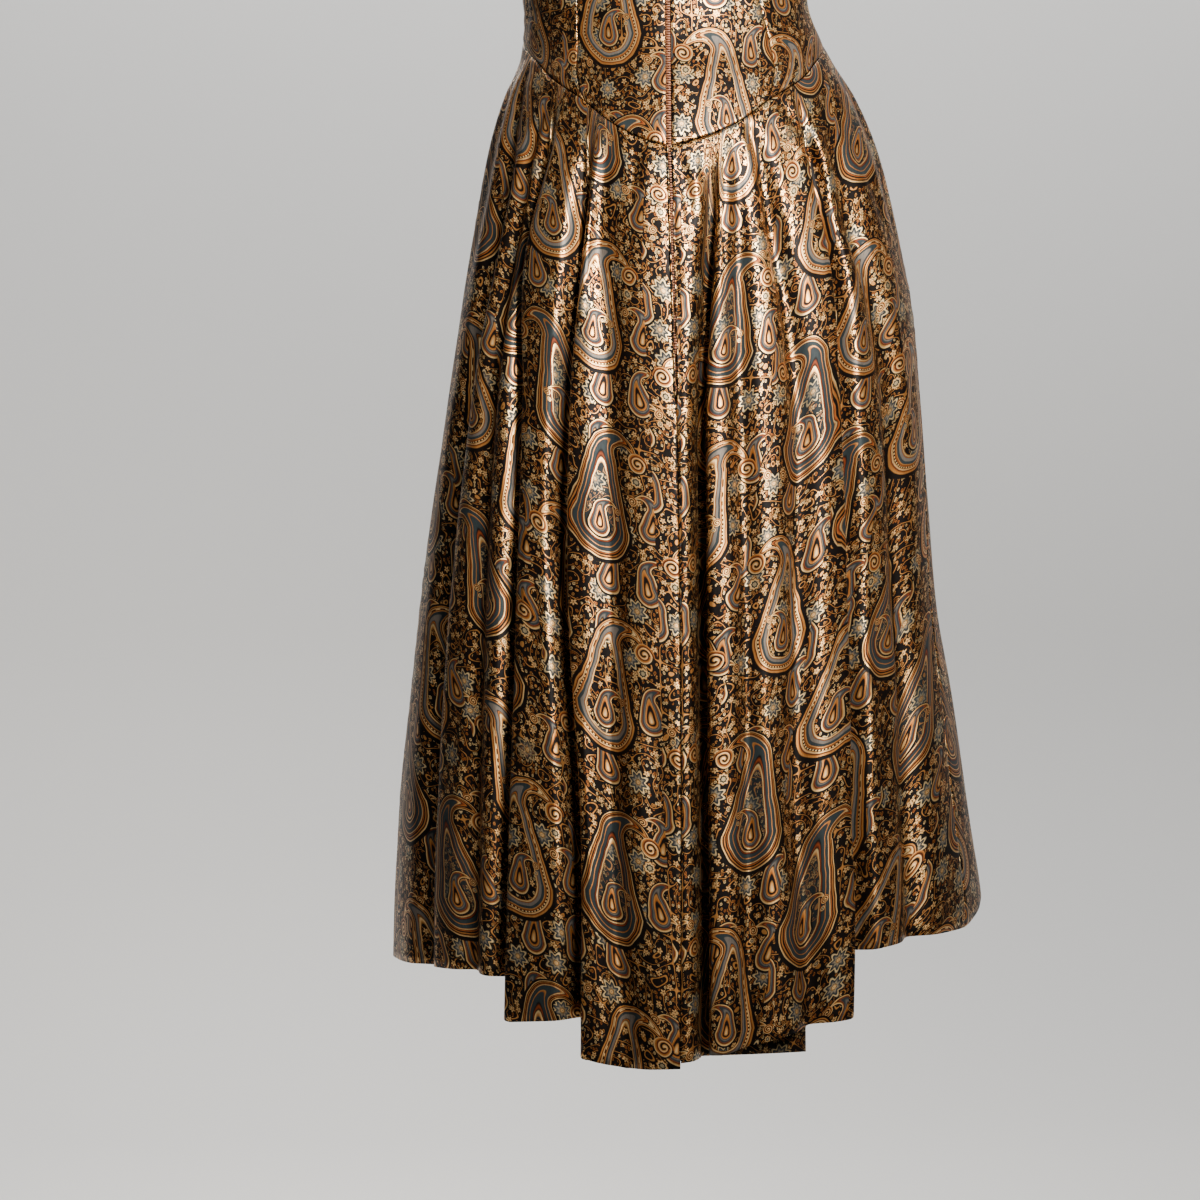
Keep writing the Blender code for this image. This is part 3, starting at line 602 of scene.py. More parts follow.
def linked(name: str, data: bpy.types.ID, *finishes: Material) -> bpy.types.Object:
    """A new object in the scene, with its finishes."""
    for finish in finishes:
        data.materials.append(finish)
    made = bpy.data.objects.new(name, data)
    bpy.context.scene.collection.objects.link(made)
    return made


def linked_mesh(name: str, work: bmesh.types.BMesh, *finishes: Material) -> bpy.types.Object:
    """A new object in the scene from a mesh under work, which is then freed."""
    mesh = bpy.data.meshes.new(name)
    work.to_mesh(mesh)
    work.free()
    return linked(name, mesh, *finishes)


@dataclass(frozen=True)
class ClothMaker:
    """Turns grids into walls of cloth on the dress."""

    wall: float = 1.1 * MM
    weld: float = 0.02 * MM

    def mesh(self, name: str, grid: ClothGrid, *finishes: Material) -> bpy.types.Object:
        """An open sheet through a grid's points, with its UV map.

        Args:
            name: the object's name.
            grid: the points and the cloth coordinates.
            finishes: its materials.

        Returns:
            The linked object.
        """
        rows, columns = grid.points.shape[:2]
        work = bmesh.new()
        bmesh.ops.create_grid(work, x_segments=columns - 1, y_segments=rows - 1, size=1.0)
        layer = work.loops.layers.uv.new("Cloth")
        work.verts.ensure_lookup_table()
        order = []
        for vert in work.verts:
            column = round((vert.co.x + 1.0) / 2.0 * (columns - 1))
            row = round((vert.co.y + 1.0) / 2.0 * (rows - 1))
            order.append((row, column))
        for vert, (row, column) in zip(work.verts, order):
            vert.co = grid.points[row, column]
        for face in work.faces:
            face.smooth = True
            for loop in face.loops:
                row, column = order[loop.vert.index]
                loop[layer].uv = grid.flat[row, column]
        if grid.split is not None:
            middle = {grid.split, grid.split + 1}
            pair = [vert for vert, (_, column) in zip(work.verts, order) if column in middle]
            bridge = [
                face for face in work.faces
                if middle <= {order[vert.index][1] for vert in face.verts}
            ]
            bmesh.ops.delete(work, geom=bridge, context="FACES_ONLY")
            bmesh.ops.remove_doubles(work, verts=pair, dist=self.weld)
            bmesh.ops.delete(work, geom=[e for e in work.edges if not e.link_faces], context="EDGES")
        work.normal_update()
        outward = sum(face.normal.dot(face.calc_center_median().xy.to_3d()) for face in work.faces)
        if outward < 0.0:
            bmesh.ops.reverse_faces(work, faces=work.faces)
        return linked_mesh(name, work, *finishes)

    def piece(
        self, name: str, grid: ClothGrid, slot: str, finishes: Sequence[Material],
    ) -> bpy.types.Object:
        """A wall on the dress, whose cut is still to be stated.

        Args:
            name: the piece's name.
            grid: the sheet's points.
            slot: its material slot.
            finishes: its material, or the right side's and the wrong side's.

        Returns:
            The piece.
        """
        made = self.mesh(name, grid, *finishes)
        wall = made.modifiers.new("Wall", "SOLIDIFY")
        wall.thickness = self.wall
        wall.offset = -1.0
        wall.material_offset = len(finishes) - 1
        wall.use_even_offset = False
        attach(made, BODY)
        return made

    def panel(self, nodes: Sequence[str], grid: ClothGrid, finishes: Sequence[Material]) -> None:
        """A wall of brocade that stands for one or more nodes of the part.

        Args:
            nodes: the nodes' names, the first of which names the piece.
            grid: the sheet's points.
            finishes: the right side's and the wrong side's materials.
        """
        made = self.piece(nodes[0] + "_cloth", grid, "brocade", finishes)
        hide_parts(*nodes)
        area = grid.area()
        held = "stretched" if "bodice" in nodes[0] else "gathered"
        log.info("%s: %d x %d points, %.3f m2", nodes[0], *grid.points.shape[:2], area)


# ---------------------------------------------------------------- skirt


class Line(NamedTuple):
    """One line of cloth down the skirt, in a fold's lap or between two folds."""

    fold: Fold
    lap: tuple[float, ...]
    following: Fold
    share: float
    hem: float
    panel: int


@dataclass
class Skirt:
    """The flared skirt with its unpressed pleats, hung from the pointed waist seam.

    The recess is the cloth behind a lap. A fold has no effect beyond its limit, in
    degrees. The edge steps are the first lines of cloth beside a seam.
    """

    seam_gap: float = 0.3 * MM
    waist_gap: float = 0.6 * MM
    lap_start_spread: float = 4.0
    recess_share: float = 18.0 / LAP_RUN_DEPTH
    recess_rise: float = 6.0
    fold_rise: float = 0.105
    fold_reach: float = 0.45
    fold_limit: float = 25.0
    first_growth: float = 0.72
    zip_bottom: float = -0.700
    zip_half_width: float = 1.7 * MM
    edge_blend: float = 0.012
    edge_step: float = 0.9 * MM
    edge_growth: float = 2.2
    row_crowding: float = 1.2
    first_rows: tuple[float, ...] = (0.0, 0.0012, 0.0024)
    rows: int = 136
    spacing: float = 3.4 * MM
    fewest_steps: int = 8
    lap_steps: int = 3
    rounds: int = 5
    start_height: float = -0.7
    cone_radius: float = 0.547
    curves: dict[str, Curve] = field(default_factory=dict)
    runs: tuple[Curve, ...] = ()

    def __post_init__(self) -> None:
        """Makes the curves of the folds' bearings and of the lap's run."""
        self.curves = {fold.name: Curve(LEVELS, fold[1:7]) for fold in FOLDS}
        self.runs = tuple(Curve(range(len(LAP_RUN)), values) for values in zip(*LAP_RUN))

    def bearing_of(self, fold: Fold, height: Array) -> Array:
        """Bearing of a fold at heights."""
        return self.curves[fold.name](height)

    def growth(self, fold: Fold, height: Array) -> Array:
        """How far a fold has opened: 0 at the waist seam, 1 well below it."""
        below = waist_seam(self.bearing_of(fold, height)) - height
        later = (1.0 - self.first_growth) * smooth_step(below / self.fold_reach)
        return smooth_step(below / self.fold_rise) * (self.first_growth + later)

    def trough(self, bearing: Array, height: Array) -> Array:
        """How far the cloth lies in, from all the folds near it, in metres."""
        inward = np.zeros_like(height)
        millimetre = FIGURE.degrees_for(MM, bearing, height)
        for fold in FOLDS:
            if fold.depth == 0:
                continue
            beyond = (bearing - self.bearing_of(fold, height) + 180.0) % 360.0 - 180.0
            reach = np.abs(beyond) / millimetre
            if fold.lap == 0:
                share = np.exp(-((reach / fold.mouth) ** 2))
            else:
                below = np.maximum(reach - fold.mouth, 0.0) / self.recess_rise
                share = np.where(beyond * fold.over < 0.0, self.recess_share * np.exp(-(below**2)), 0.0)
            share = np.where(np.abs(beyond) > self.fold_limit, 0.0, share)
            inward = inward + share * fold.depth * MM * self.growth(fold, height)
        return inward

    def lap_lines(self, fold: Fold) -> list[tuple[float, ...]]:
        """Places across a lapped fold, in the order of falling bearing."""
        last = len(LAP_RUN) - 1
        lines = []
        for at in np.linspace(0.0, last, last * self.lap_steps + 1):
            share, across, inward = (float(run(np.array(at))) for run in self.runs)
            flat = self.lap_start_spread * (1.0 - 2.0 * at / last)
            lines.append((share, across, inward, flat, at / last))
        if fold.over < 0:
            lines = [(s, -a, i, -f, 1.0 - p) for s, a, i, f, p in reversed(lines)]
        return lines

    def lap_point(self, fold: Fold, lap: tuple[float, ...], height: Array) -> tuple[Array, Array]:
        """Bearing and stand-off of one line of a lapped fold at heights."""
        share, across, inward, flat, _ = lap
        growth = self.growth(fold, height)
        spread = growth**3
        side = 1.0 if fold.over > 0 else -1.0
        full = side * share * fold.lap + across
        distance = flat * (1.0 - spread) + full * spread
        centre = self.bearing_of(fold, height)
        bearing = centre + FIGURE.degrees_for(distance * MM, centre, height)
        return bearing, -inward * fold.depth / LAP_RUN_DEPTH * growth * MM

    def lines(self, first: int, last: int) -> list[Line]:
        """The lines of cloth from one row of the fold table to another."""
        made: list[Line] = []
        panel = 0
        for i in range(first, last):
            fold, following = FOLDS[i], FOLDS[i + 1]
            if fold.lap and i > first:
                panel += 1
                for lap in self.lap_lines(fold):
                    hem = fold.hem_before + (fold.hem_after - fold.hem_before) * smooth_step(lap[4])
                    made.append(Line(fold, lap, following, 0.0, float(hem), -1))
            middle = np.array((fold.hem + following.hem) / 2.0)
            degree = FIGURE.degrees_for(1.0, middle, np.array(LEVELS[-1]))
            width = float(abs(fold.hem - following.hem) / degree)
            steps = max(self.fewest_steps, round(width / self.spacing))
            shares = [step / steps for step in range(steps + 1)]
            near = self.edge_step / width
            if i == first:
                shares[1:1] = [near, self.edge_growth * near]
            if i == last - 1:
                shares[-1:-1] = [1.0 - self.edge_growth * near, 1.0 - near]
            if fold.lap:
                shares = shares[1:]
            if following.lap or i < last - 1:
                shares = shares[:-1]
            for share in shares:
                hem = fold.hem_after + (following.hem_before - fold.hem_after) * share
                made.append(Line(fold, (), following, share, hem, panel))
        return made

    def line_bearing(self, line: Line, height: Array) -> tuple[Array, Array]:
        """Bearing of a line at heights, and its stand-off where it lies in a lap."""
        if line.lap:
            return self.lap_point(line.fold, line.lap, height)
        start = self.bearing_of(line.fold, height)
        end = self.bearing_of(line.following, height)
        if line.fold.lap and line.share:
            start, _ = self.lap_point(line.fold, self.lap_lines(line.fold)[-1], height)
        if line.following.lap:
            end, _ = self.lap_point(line.following, self.lap_lines(line.following)[0], height)
        return start + (end - start) * line.share, np.zeros_like(height)

    def zip_gap(self, height: Array) -> Array:
        """Half of the opening at the centre back: wide round the zip and shut below."""
        closed = smooth_step((self.zip_bottom - height) / self.edge_blend)
        return self.zip_half_width + self.seam_gap - (self.zip_half_width + 0.5 * self.seam_gap) * closed

    def downs(self) -> Array:
        """Shares of the way from the waist seam to the hem at which rows lie."""
        regular = (np.arange(self.rows + 1) / self.rows) ** self.row_crowding
        return np.concatenate([self.first_rows, regular[1:]])

    def places(self, first_name: str, last_name: str) -> tuple[Array, Array, Array, list[Line]]:
        """Bearings, heights and stand-offs of the skirt between two rows of the table."""
        names = [fold.name for fold in FOLDS]
        lines = self.lines(names.index(first_name), names.index(last_name))
        downs = self.downs()
        bearings, heights, offs = [], [], []
        for i, line in enumerate(lines):
            height = np.full(len(downs), self.start_height)
            for _ in range(self.rounds):
                bearing, off = self.line_bearing(line, height)
                top = waist_seam(bearing) - 0.5 * self.waist_gap
                height = top + (-line.hem * MM - top) * downs
            bearing, off = self.line_bearing(line, height)
            if not line.lap:
                off = -self.trough(bearing, height)
            at_edge = (i == 0) - (i == len(lines) - 1)
            seam = first_name if i == 0 else last_name
            if at_edge and not seam.startswith("centre_front"):
                gap = self.zip_gap(height) if seam == "centre_back" else 0.5 * self.seam_gap
                bearing = bearing - at_edge * FIGURE.degrees_for(gap, bearing, height)
            bearings.append(bearing)
            heights.append(height)
            offs.append(off)
        return np.stack(bearings, 1), np.stack(heights, 1), np.stack(offs, 1), lines

    def flat_places(self, points: Array, lines: list[Line], anchor: int) -> Array:
        """The cloth's own coordinates: a flared panel laid flat, in metres.

        Args:
            points: the sheet's points.
            lines: its lines of cloth.
            anchor: the column where the cloth's middle lies.

        Returns:
            Coordinates across and up the cloth at each point.
        """
        along = lengths_along(points, 1)
        radius = self.cone_radius + lengths_along(points, 0)
        angle = (along[-1] - along[-1, anchor]) / radius[-1]
        across = radius * angle
        panels = np.array([line.panel for line in lines])
        for panel in sorted(set(panels) - {-1}):
            inside = np.flatnonzero(panels == panel)
            middle = inside[len(inside) // 2]
            start = (radius[:, middle] * angle[middle])[:, None]
            across[:, inside] = start + along[:, inside] - along[:, [middle]]
        for i in np.flatnonzero(panels == -1):
            before = max(j for j in np.flatnonzero(panels >= 0) if j < i)
            after = min(j for j in np.flatnonzero(panels >= 0) if j > i)
            share = (along[:, i] - along[:, before]) / (along[:, after] - along[:, before])
            across[:, i] = across[:, before] * (1.0 - share) + across[:, after] * share
        swing = across / radius
        return np.stack([radius * np.sin(swing), -radius * np.cos(swing)], -1)

    def sheet(self, spans: Sequence[tuple[str, str]], middle: str) -> ClothGrid:
        """One piece of the skirt.

        Args:
            spans: the rows of the fold table between which it lies, in order.
            middle: the seam at which its cloth is straight, by name.

        Returns:
            The finished grid.
        """
        parts = [self.places(*span) for span in spans]
        lines: list[Line] = []
        columns: list[list[Array]] = [[], [], []]
        shift = 0
        for number, part in enumerate(parts):
            start = 1 if number else 0
            for store, value in zip(columns, part[:3]):
                store.append(value[:, start:])
            for line in part[3][start:]:
                lines.append(line._replace(panel=line.panel + shift if line.panel >= 0 else -1))
            shift = max(line.panel for line in lines)
        bearing, height, off = (np.concatenate(store, axis=1) for store in columns)
        points = FIGURE.point(bearing, height, off)
        ends = {spans[0][0]: 0, spans[-1][1]: len(lines) - 1}
        anchor = ends.get(middle, parts[0][0].shape[1] - 1)
        flat = self.flat_places(points, lines, anchor)
        shown = np.array([1.0 if line.panel >= 0 else 0.0 for line in lines])
        opened = smooth_step((waist_seam(bearing) - height) / self.edge_blend)
        inward = CREASE_FIELD.depth_at(bearing, height) * shown * opened
        inward = inward + SEAM_RELIEF.depth_at(points, list(ends.values()), [0])
        return ClothGrid(points, flat).pressed(inward)


# ---------------------------------------------------------------- bodice


class RowKind(Enum):
    """How a row of the bodice finds its height."""

    FROM_SEAM = 0
    LEVEL = 1
    BETWEEN = 2
    UNDER_SHOULDER = 3


Edge = Callable[[Array], Array]


@dataclass(frozen=True)
class PanelKind:
    """A kind of panel, made on both sides: its two edges and where its cloth starts."""

    name: str
    inner: Edge
    outer: Edge
    back: bool
    columns: int
    start: Optional[float] = None


@dataclass
class Bodice:
    """The fitted bodice: centre and side panels, back and front.

    Its rows run from the waist seam up. The first and last ones are given by hand, and
    so are those under the two necks, as drops below the shoulder line.
    """

    seam_gap: float = 0.3 * MM
    waist_gap: float = 0.6 * MM
    shoulder_gap: float = 0.5 * MM
    waist_level: float = -0.412
    row_spacing: float = 5.0 * MM
    last_level: float = -0.160
    front_neck_drop: float = 0.1114
    back_neck_drop: float = 0.0814
    first_shares: tuple[float, ...] = (0.0, 0.012, 0.028, 0.05)
    under_neck: tuple[float, ...] = (0.0, 0.0006, 0.0019, 0.0044, 0.0080)
    neck_drops: tuple[float, ...] = (0.098, 0.092, 0.086)
    over_neck: tuple[float, float, int] = (0.068, 0.012, 12)
    last_drops: tuple[float, ...] = (0.0075, 0.0045, 0.0024, 0.0010, 0.0003, 0.0)
    seam_rows: tuple[float, float, int] = (0.1, 1.0, 18)
    between_rows: int = 12
    centre_columns: int = 34
    side_columns: int = 28
    first_columns: tuple[float, ...] = (0.0, 0.008, 0.017)
    back_side_start: float = 0.31
    front_side_start: float = 0.47
    shoulder_flat: float = 0.004
    shoulder_blend: float = 0.03
    waist_blend: float = 0.01
    start_height: float = -0.1
    rounds: int = 4
    search: tuple[float, float] = (-5.0, 95.0)
    search_rounds: int = 24
    kinds: Array = field(default_factory=lambda: np.zeros(0))
    measures: Array = field(default_factory=lambda: np.zeros(0))
    skirt: Skirt = field(default_factory=Skirt)

    def __post_init__(self) -> None:
        """Lists the rows from the waist seam to the shoulder seam."""
        count = round((self.last_level - self.waist_level) / self.row_spacing)
        under_neck = np.array(self.under_neck)
        rows = {
            RowKind.FROM_SEAM: [*self.first_shares, *np.linspace(*self.seam_rows)],
            RowKind.LEVEL: np.linspace(self.waist_level, self.last_level, count)[1:],
            RowKind.BETWEEN: np.linspace(0.0, 1.0, self.between_rows + 1)[1:-1],
            RowKind.UNDER_SHOULDER: [
                *(self.front_neck_drop - under_neck), *self.neck_drops,
                *(self.back_neck_drop - under_neck), *np.linspace(*self.over_neck), *self.last_drops,
            ],
        }
        self.kinds = np.concatenate([np.full(len(row), kind.value) for kind, row in rows.items()])
        self.measures = np.concatenate(list(rows.values()))

    def heights(self, bearing: Array, side: Side, back: bool) -> Array:
        """Height of every row at bearings from the centre of the panels.

        Args:
            bearing: one row of bearings for each of the bodice's rows.
            side: left or right.
            back: whether the panel is a back one.

        Returns:
            Heights of the same shape.
        """
        turned = side.turned(bearing, back)
        kinds, measures = self.kinds[:, None], self.measures[:, None]
        seam = (waist_seam(turned) + 0.5 * self.waist_gap) * (1.0 - measures) + self.waist_level * measures
        height = np.full(turned.shape, self.start_height)
        for _ in range(self.rounds):
            across = FIGURE.point(turned, height)[..., 0]
            shoulder = FIGURE.shoulder_line(across)
            first = (shoulder - self.front_neck_drop) * measures + self.last_level * (1.0 - measures)
            height = np.where(kinds == RowKind.UNDER_SHOULDER.value, shoulder - measures, measures)
            height = np.where(kinds == RowKind.BETWEEN.value, first, height)
            height = np.where(kinds == RowKind.FROM_SEAM.value, seam, height)
        return height

    def crossing(self, edge: Edge, side: Side, back: bool) -> Array:
        """Bearing at which each row meets an edge."""
        low, high = (np.full((len(self.kinds), 1), end) for end in self.search)
        for _ in range(self.search_rounds):
            middle = 0.5 * (low + high)
            before = edge(self.heights(middle, side, back)) > middle
            low, high = np.where(before, middle, low), np.where(before, high, middle)
        return 0.5 * (low + high)

    def seam_beside(self, table: Sequence[EdgePoint], sign: float) -> Edge:
        """An edge half a seam's gap to one side of a seam line."""
        curve = Curve(*zip(*table))

        def edge(height: Array) -> Array:
            """The edge's bearing at heights."""
            bearing = curve(height)
            return bearing + sign * FIGURE.degrees_for(0.5 * self.seam_gap, bearing, height)

        return edge

    def centre_edge(self, table: Sequence[EdgePoint], zipped: bool) -> Edge:
        """The centre line of a panel, and above it the neck."""
        curve = Curve(*zip(*table))

        def edge(height: Array) -> Array:
            """The edge's bearing at heights."""
            neck = np.where(height > table[-1].height, curve(height), 0.0)
            if not zipped:
                return neck
            return neck + FIGURE.degrees_for(self.skirt.zip_gap(height), np.zeros_like(height), height)

        return edge

    def side_edge(self) -> Edge:
        """The side seam, and above it the armhole."""
        curve = Curve(*zip(*ARMHOLE))

        def edge(height: Array) -> Array:
            """The edge's bearing at heights."""
            seam = 90.0 - FIGURE.degrees_for(0.5 * self.seam_gap, np.full_like(height, 90.0), height)
            return np.where(height > ARMHOLE[-1].height, np.minimum(curve(height), seam), seam)

        return edge

    def half(self, kind: PanelKind, side: Side) -> tuple[Array, Array, Array]:
        """Turned bearings, heights and points of one panel, or of half of the front."""
        near, far = (self.crossing(edge, side, kind.back) for edge in (kind.inner, kind.outer))
        shares = np.linspace(0.0, 1.0, kind.columns + 1)
        beside = np.array(self.first_columns)
        shares = np.concatenate([beside, shares[1:-1], 1.0 - beside[::-1]])
        bearing = near + (far - near) * shares[None, :]
        height = self.heights(bearing, side, kind.back)
        turned = side.turned(bearing, kind.back)
        points = FIGURE.point(turned, height)
        points[..., 1] += (0.5 if kind.back else -0.5) * self.shoulder_gap
        return turned, height, points

    def finish_grid(self, kind: PanelKind, side: Side) -> ClothGrid:
        """A panel with the cloth's coordinates, its creases and its turned edges.

        The front's halves meet without a seam. Where a kind has no start, the cloth is
        measured across from the middle of the dress.
        """
        turned, height, points = self.half(kind, side)
        across = lengths_along(points, 1)
        if kind.start is None:
            across = across + np.abs(points[:, [0], 0])
        facing = 1.0 if np.mean(points[..., 1]) < 0.0 else -1.0
        rightward = facing * np.sign(np.mean(points[:, -1, 0] - points[:, 0, 0]))
        flat = np.stack([(kind.start or 0.0) + rightward * across, height], -1)
        drop = FIGURE.shoulder_line(points[..., 0]) - height
        fade = smooth_step((drop - self.shoulder_flat) / self.shoulder_blend)
        opened = smooth_step((height - waist_seam(turned)) / self.waist_blend)
        inward = CREASE_FIELD.depth_at(turned, height) * opened
        last = points.shape[1] - 1
        seams = [last] if kind.name == "bodice_front_" else [0, last]
        inward = (inward + SEAM_RELIEF.depth_at(points, seams, [0])) * fade
        return ClothGrid(points, flat).pressed(inward)

    def panels(self) -> dict[str, ClothGrid]:
        """Every panel of the bodice by the name of the node it stands for."""
        outer = self.side_edge()
        back_side, front_side = (self.seam_beside(table, 1.0) for table in (BACK_PRINCESS, FRONT_PRINCESS))
        back, front = (self.seam_beside(table, -1.0) for table in (BACK_PRINCESS, FRONT_PRINCESS))
        zipped, neck = self.centre_edge(BACK_NECK, True), self.centre_edge(FRONT_NECK, False)
        kinds = (
            PanelKind("bodice_back_side_", back_side, outer, True, self.side_columns, self.back_side_start),
            PanelKind(
                "bodice_front_side_", front_side, outer, False, self.side_columns, self.front_side_start,
            ),
            PanelKind("bodice_back_", zipped, back, True, self.centre_columns),
            PanelKind("bodice_front_", neck, front, False, self.centre_columns),
        )
        made = {}
        for side in Side:
            for kind in kinds:
                made[kind.name + side.name.lower()] = self.finish_grid(kind, side)
        left = made.pop("bodice_front_left")
        made["bodice_front"] = left.beside(made.pop("bodice_front_right"))
        return made


# ---------------------------------------------------------------- shader sockets


Number = Union[float, "Socket"]


def adds_math(operation: str, meaning: str) -> Callable[..., "Socket"]:
    """A method of Socket that adds one Math node, with its meaning as its docstring."""

    def method(self: "Socket", *others: Number) -> "Socket":
        return self.graph.math(operation, self, *others)

    method.__doc__ = meaning
    return method


class Socket:
    """A shader socket that takes part in Python arithmetic by adding Math nodes."""

    def __init__(self, graph: "Graph", output: bpy.types.NodeSocket) -> None:
        """Takes the graph and one of its outputs."""
        self.graph = graph
        self.output = output

    __add__ = __radd__ = adds_math("ADD", "Sum.")
    __sub__ = adds_math("SUBTRACT", "Difference.")
    __mul__ = __rmul__ = adds_math("MULTIPLY", "Product.")
    __truediv__ = adds_math("DIVIDE", "Quotient.")
    __pow__ = adds_math("POWER", "Power.")
    floor = adds_math("FLOOR", "The whole number below.")
    fraction = adds_math("FRACT", "What lies above the whole number below.")
    size = adds_math("ABSOLUTE", "Absolute value.")
    root = adds_math("SQRT", "Square root.")
    sine = adds_math("SINE", "Sine of radians.")
    cosine = adds_math("COSINE", "Cosine of radians.")
    angle_to = adds_math("ARCTAN2", "Angle in radians of the direction (other, this).")
    at_least = adds_math("MAXIMUM", "The greater of the two.")
    at_most = adds_math("MINIMUM", "The less of the two.")
    beyond = adds_math("GREATER_THAN", "1 where this is more than the other, or else 0.")

    def __rsub__(self, other: Number) -> "Socket":
        """A number less this value."""
        return self.graph.math("SUBTRACT", other, self)

    def rise(self, start: float, end: float) -> "Socket":
        """0 before start and 1 after end, with a soft S between; start may be the greater."""
        settings = {"interpolation_type": "SMOOTHSTEP"}
        low, high, first, last = (start, end, 0.0, 1.0) if start < end else (end, start, 1.0, 0.0)
        inputs = {"Value": self, "From Min": low, "From Max": high, "To Min": first, "To Max": last}
        return self.graph.node("ShaderNodeMapRange", settings, inputs).out("Result")

    def band(self, middle: float, half: float, soft: float) -> "Socket":
        """1 within half a width of the middle, falling to 0 over a soft edge."""
        return (self - middle).size().rise(half + soft, half)


class Made:
    """A shader node, with a short way to its outputs."""

    def __init__(self, graph: "Graph", node: bpy.types.Node) -> None:
        """Takes the graph and the node."""
        self.graph = graph
        self.node = node

    def out(self, name: Union[int, str] = 0) -> Socket:
        """One of the node's outputs, as a value."""
        return Socket(self.graph, self.node.outputs[name])


class Graph:
    """A material's nodes, and the one way in which they are made."""

    def __init__(self, name: str) -> None:
        """Starts a material with only its Principled shader."""
        self.material = bpy.data.materials.new(name)
        self.material.use_nodes = True
        self.tree = self.material.node_tree
        self.shader = self.tree.nodes["Principled BSDF"]

    def node(self, kind: str, settings: dict, inputs: dict) -> Made:
        """Makes a node.

        Args:
            kind: the node's type.
            settings: its properties, set first; "stops" gives a ramp's (place, colour) pairs.
            inputs: values or links for its sockets, by name or number.

        Returns:
            The node.
        """
        made = self.tree.nodes.new(kind)
        for name, value in settings.items():
            if name == "stops":
                self.set_stops(made.color_ramp, value)
            else:
                setattr(made, name, value)
        for name, value in inputs.items():
            self.feed(made.inputs[name], value)
        return Made(self, made)

    def set_stops(self, ramp: bpy.types.ColorRamp, stops: Sequence[tuple]) -> None:
        """Gives a ramp its stops."""
        while len(ramp.elements) > 1:
            ramp.elements.remove(ramp.elements[-1])
        for i, (place, colour) in enumerate(stops):
            element = ramp.elements[0] if i == 0 else ramp.elements.new(place)
            element.position = place
            element.color = (*colour, 1.0)

    def feed(self, target: bpy.types.NodeSocket, value: object) -> None:
        """Links or sets one socket."""
        if isinstance(value, Socket):
            self.tree.links.new(value.output, target)
        elif isinstance(value, tuple) and target.type == "RGBA":
            target.default_value = (*value, 1.0)
        else:
            target.default_value = value

    def math(self, operation: str, *values: Number) -> Socket:
        """A Math node on values."""
        return self.node("ShaderNodeMath", {"operation": operation}, dict(enumerate(values))).out()

    def vector(self, operation: str, first: object, second: object) -> Socket:
        """A Vector Math node on two vectors."""
        return self.node("ShaderNodeVectorMath", {"operation": operation}, {0: first, 1: second}).out()

    def mix(self, share: Number, first: object, second: object) -> Socket:
        """A colour between two, by a share."""
        settings = {"data_type": "RGBA", "blend_type": "MIX"}
        return self.node("ShaderNodeMix", settings, {0: share, 6: first, 7: second}).out(2)

    def coordinates(self, name: str) -> Socket:
        """One kind of texture coordinates."""
        return self.node("ShaderNodeTexCoord", {}, {}).out(name)

    def noise(self, place: Socket, scale: float, detail: float = 2.0, output: str = "Fac") -> Socket:
        """A Noise texture."""
        inputs = {"Vector": place, "Scale": scale, "Detail": detail}
        return self.node("ShaderNodeTexNoise", {}, inputs).out(output)

    def cells(self, place: Socket, scale: float, randomness: float) -> Made:
        """Voronoi cells on the plane."""
        inputs = {"Vector": place, "Scale": scale, "Randomness": randomness}
        return self.node("ShaderNodeTexVoronoi", {"voronoi_dimensions": "2D"}, inputs)

    def parts(self, kind: str, value: Socket) -> list[Socket]:
        """The three parts of a vector, kind "XYZ", or of a colour, kind "Color"."""
        made = self.node("ShaderNodeSeparate" + kind, {}, {0: value})
        return [made.out(i) for i in range(3)]

    def ramp(self, stops: tuple, value: Socket) -> Socket:
        """The colour of a value on a ramp."""
        return self.node("ShaderNodeValToRGB", {"stops": stops}, {0: value}).out("Color")

    def bump(self, strength: float, distance: float, height: Socket) -> Socket:
        """Normals of a height."""
        inputs = {"Strength": strength, "Distance": distance, "Height": height}
        return self.node("ShaderNodeBump", {}, inputs).out("Normal")

    def surface(self, **values: object) -> None:
        """Sets or links sockets of the Principled shader; underscores stand for spaces."""
        for name, value in values.items():
            self.feed(self.shader.inputs[name.replace("_", " ")], value)


# ---------------------------------------------------------------- finishes


Colour = tuple[float, float, float]
Range = tuple[float, float]
SOFT_RIM: Range = (1.0, 0.94)


@dataclass(frozen=True)
class Threads:
    """Colours of the brocade's yarns, linear."""

    black: Colour = (0.0040, 0.0024, 0.0018)
    gold: Colour = (0.54, 0.235, 0.062)
    pale: Colour = (0.92, 0.63, 0.280)
    copper: Colour = (0.36, 0.115, 0.025)
    rust: Colour = (0.17, 0.034, 0.009)
    slate: Colour = (0.020, 0.027, 0.029)
    grey: Colour = (0.125, 0.105, 0.088)
    cream: Colour = (0.42, 0.33, 0.19)


THREADS = Threads()
Stops = tuple[tuple[float, Colour], ...]


def bands(*rows: tuple[float, str]) -> Stops:
    """A ramp's stops, from places and the names of yarns."""
    return tuple((place, getattr(THREADS, yarn)) for place, yarn in rows)


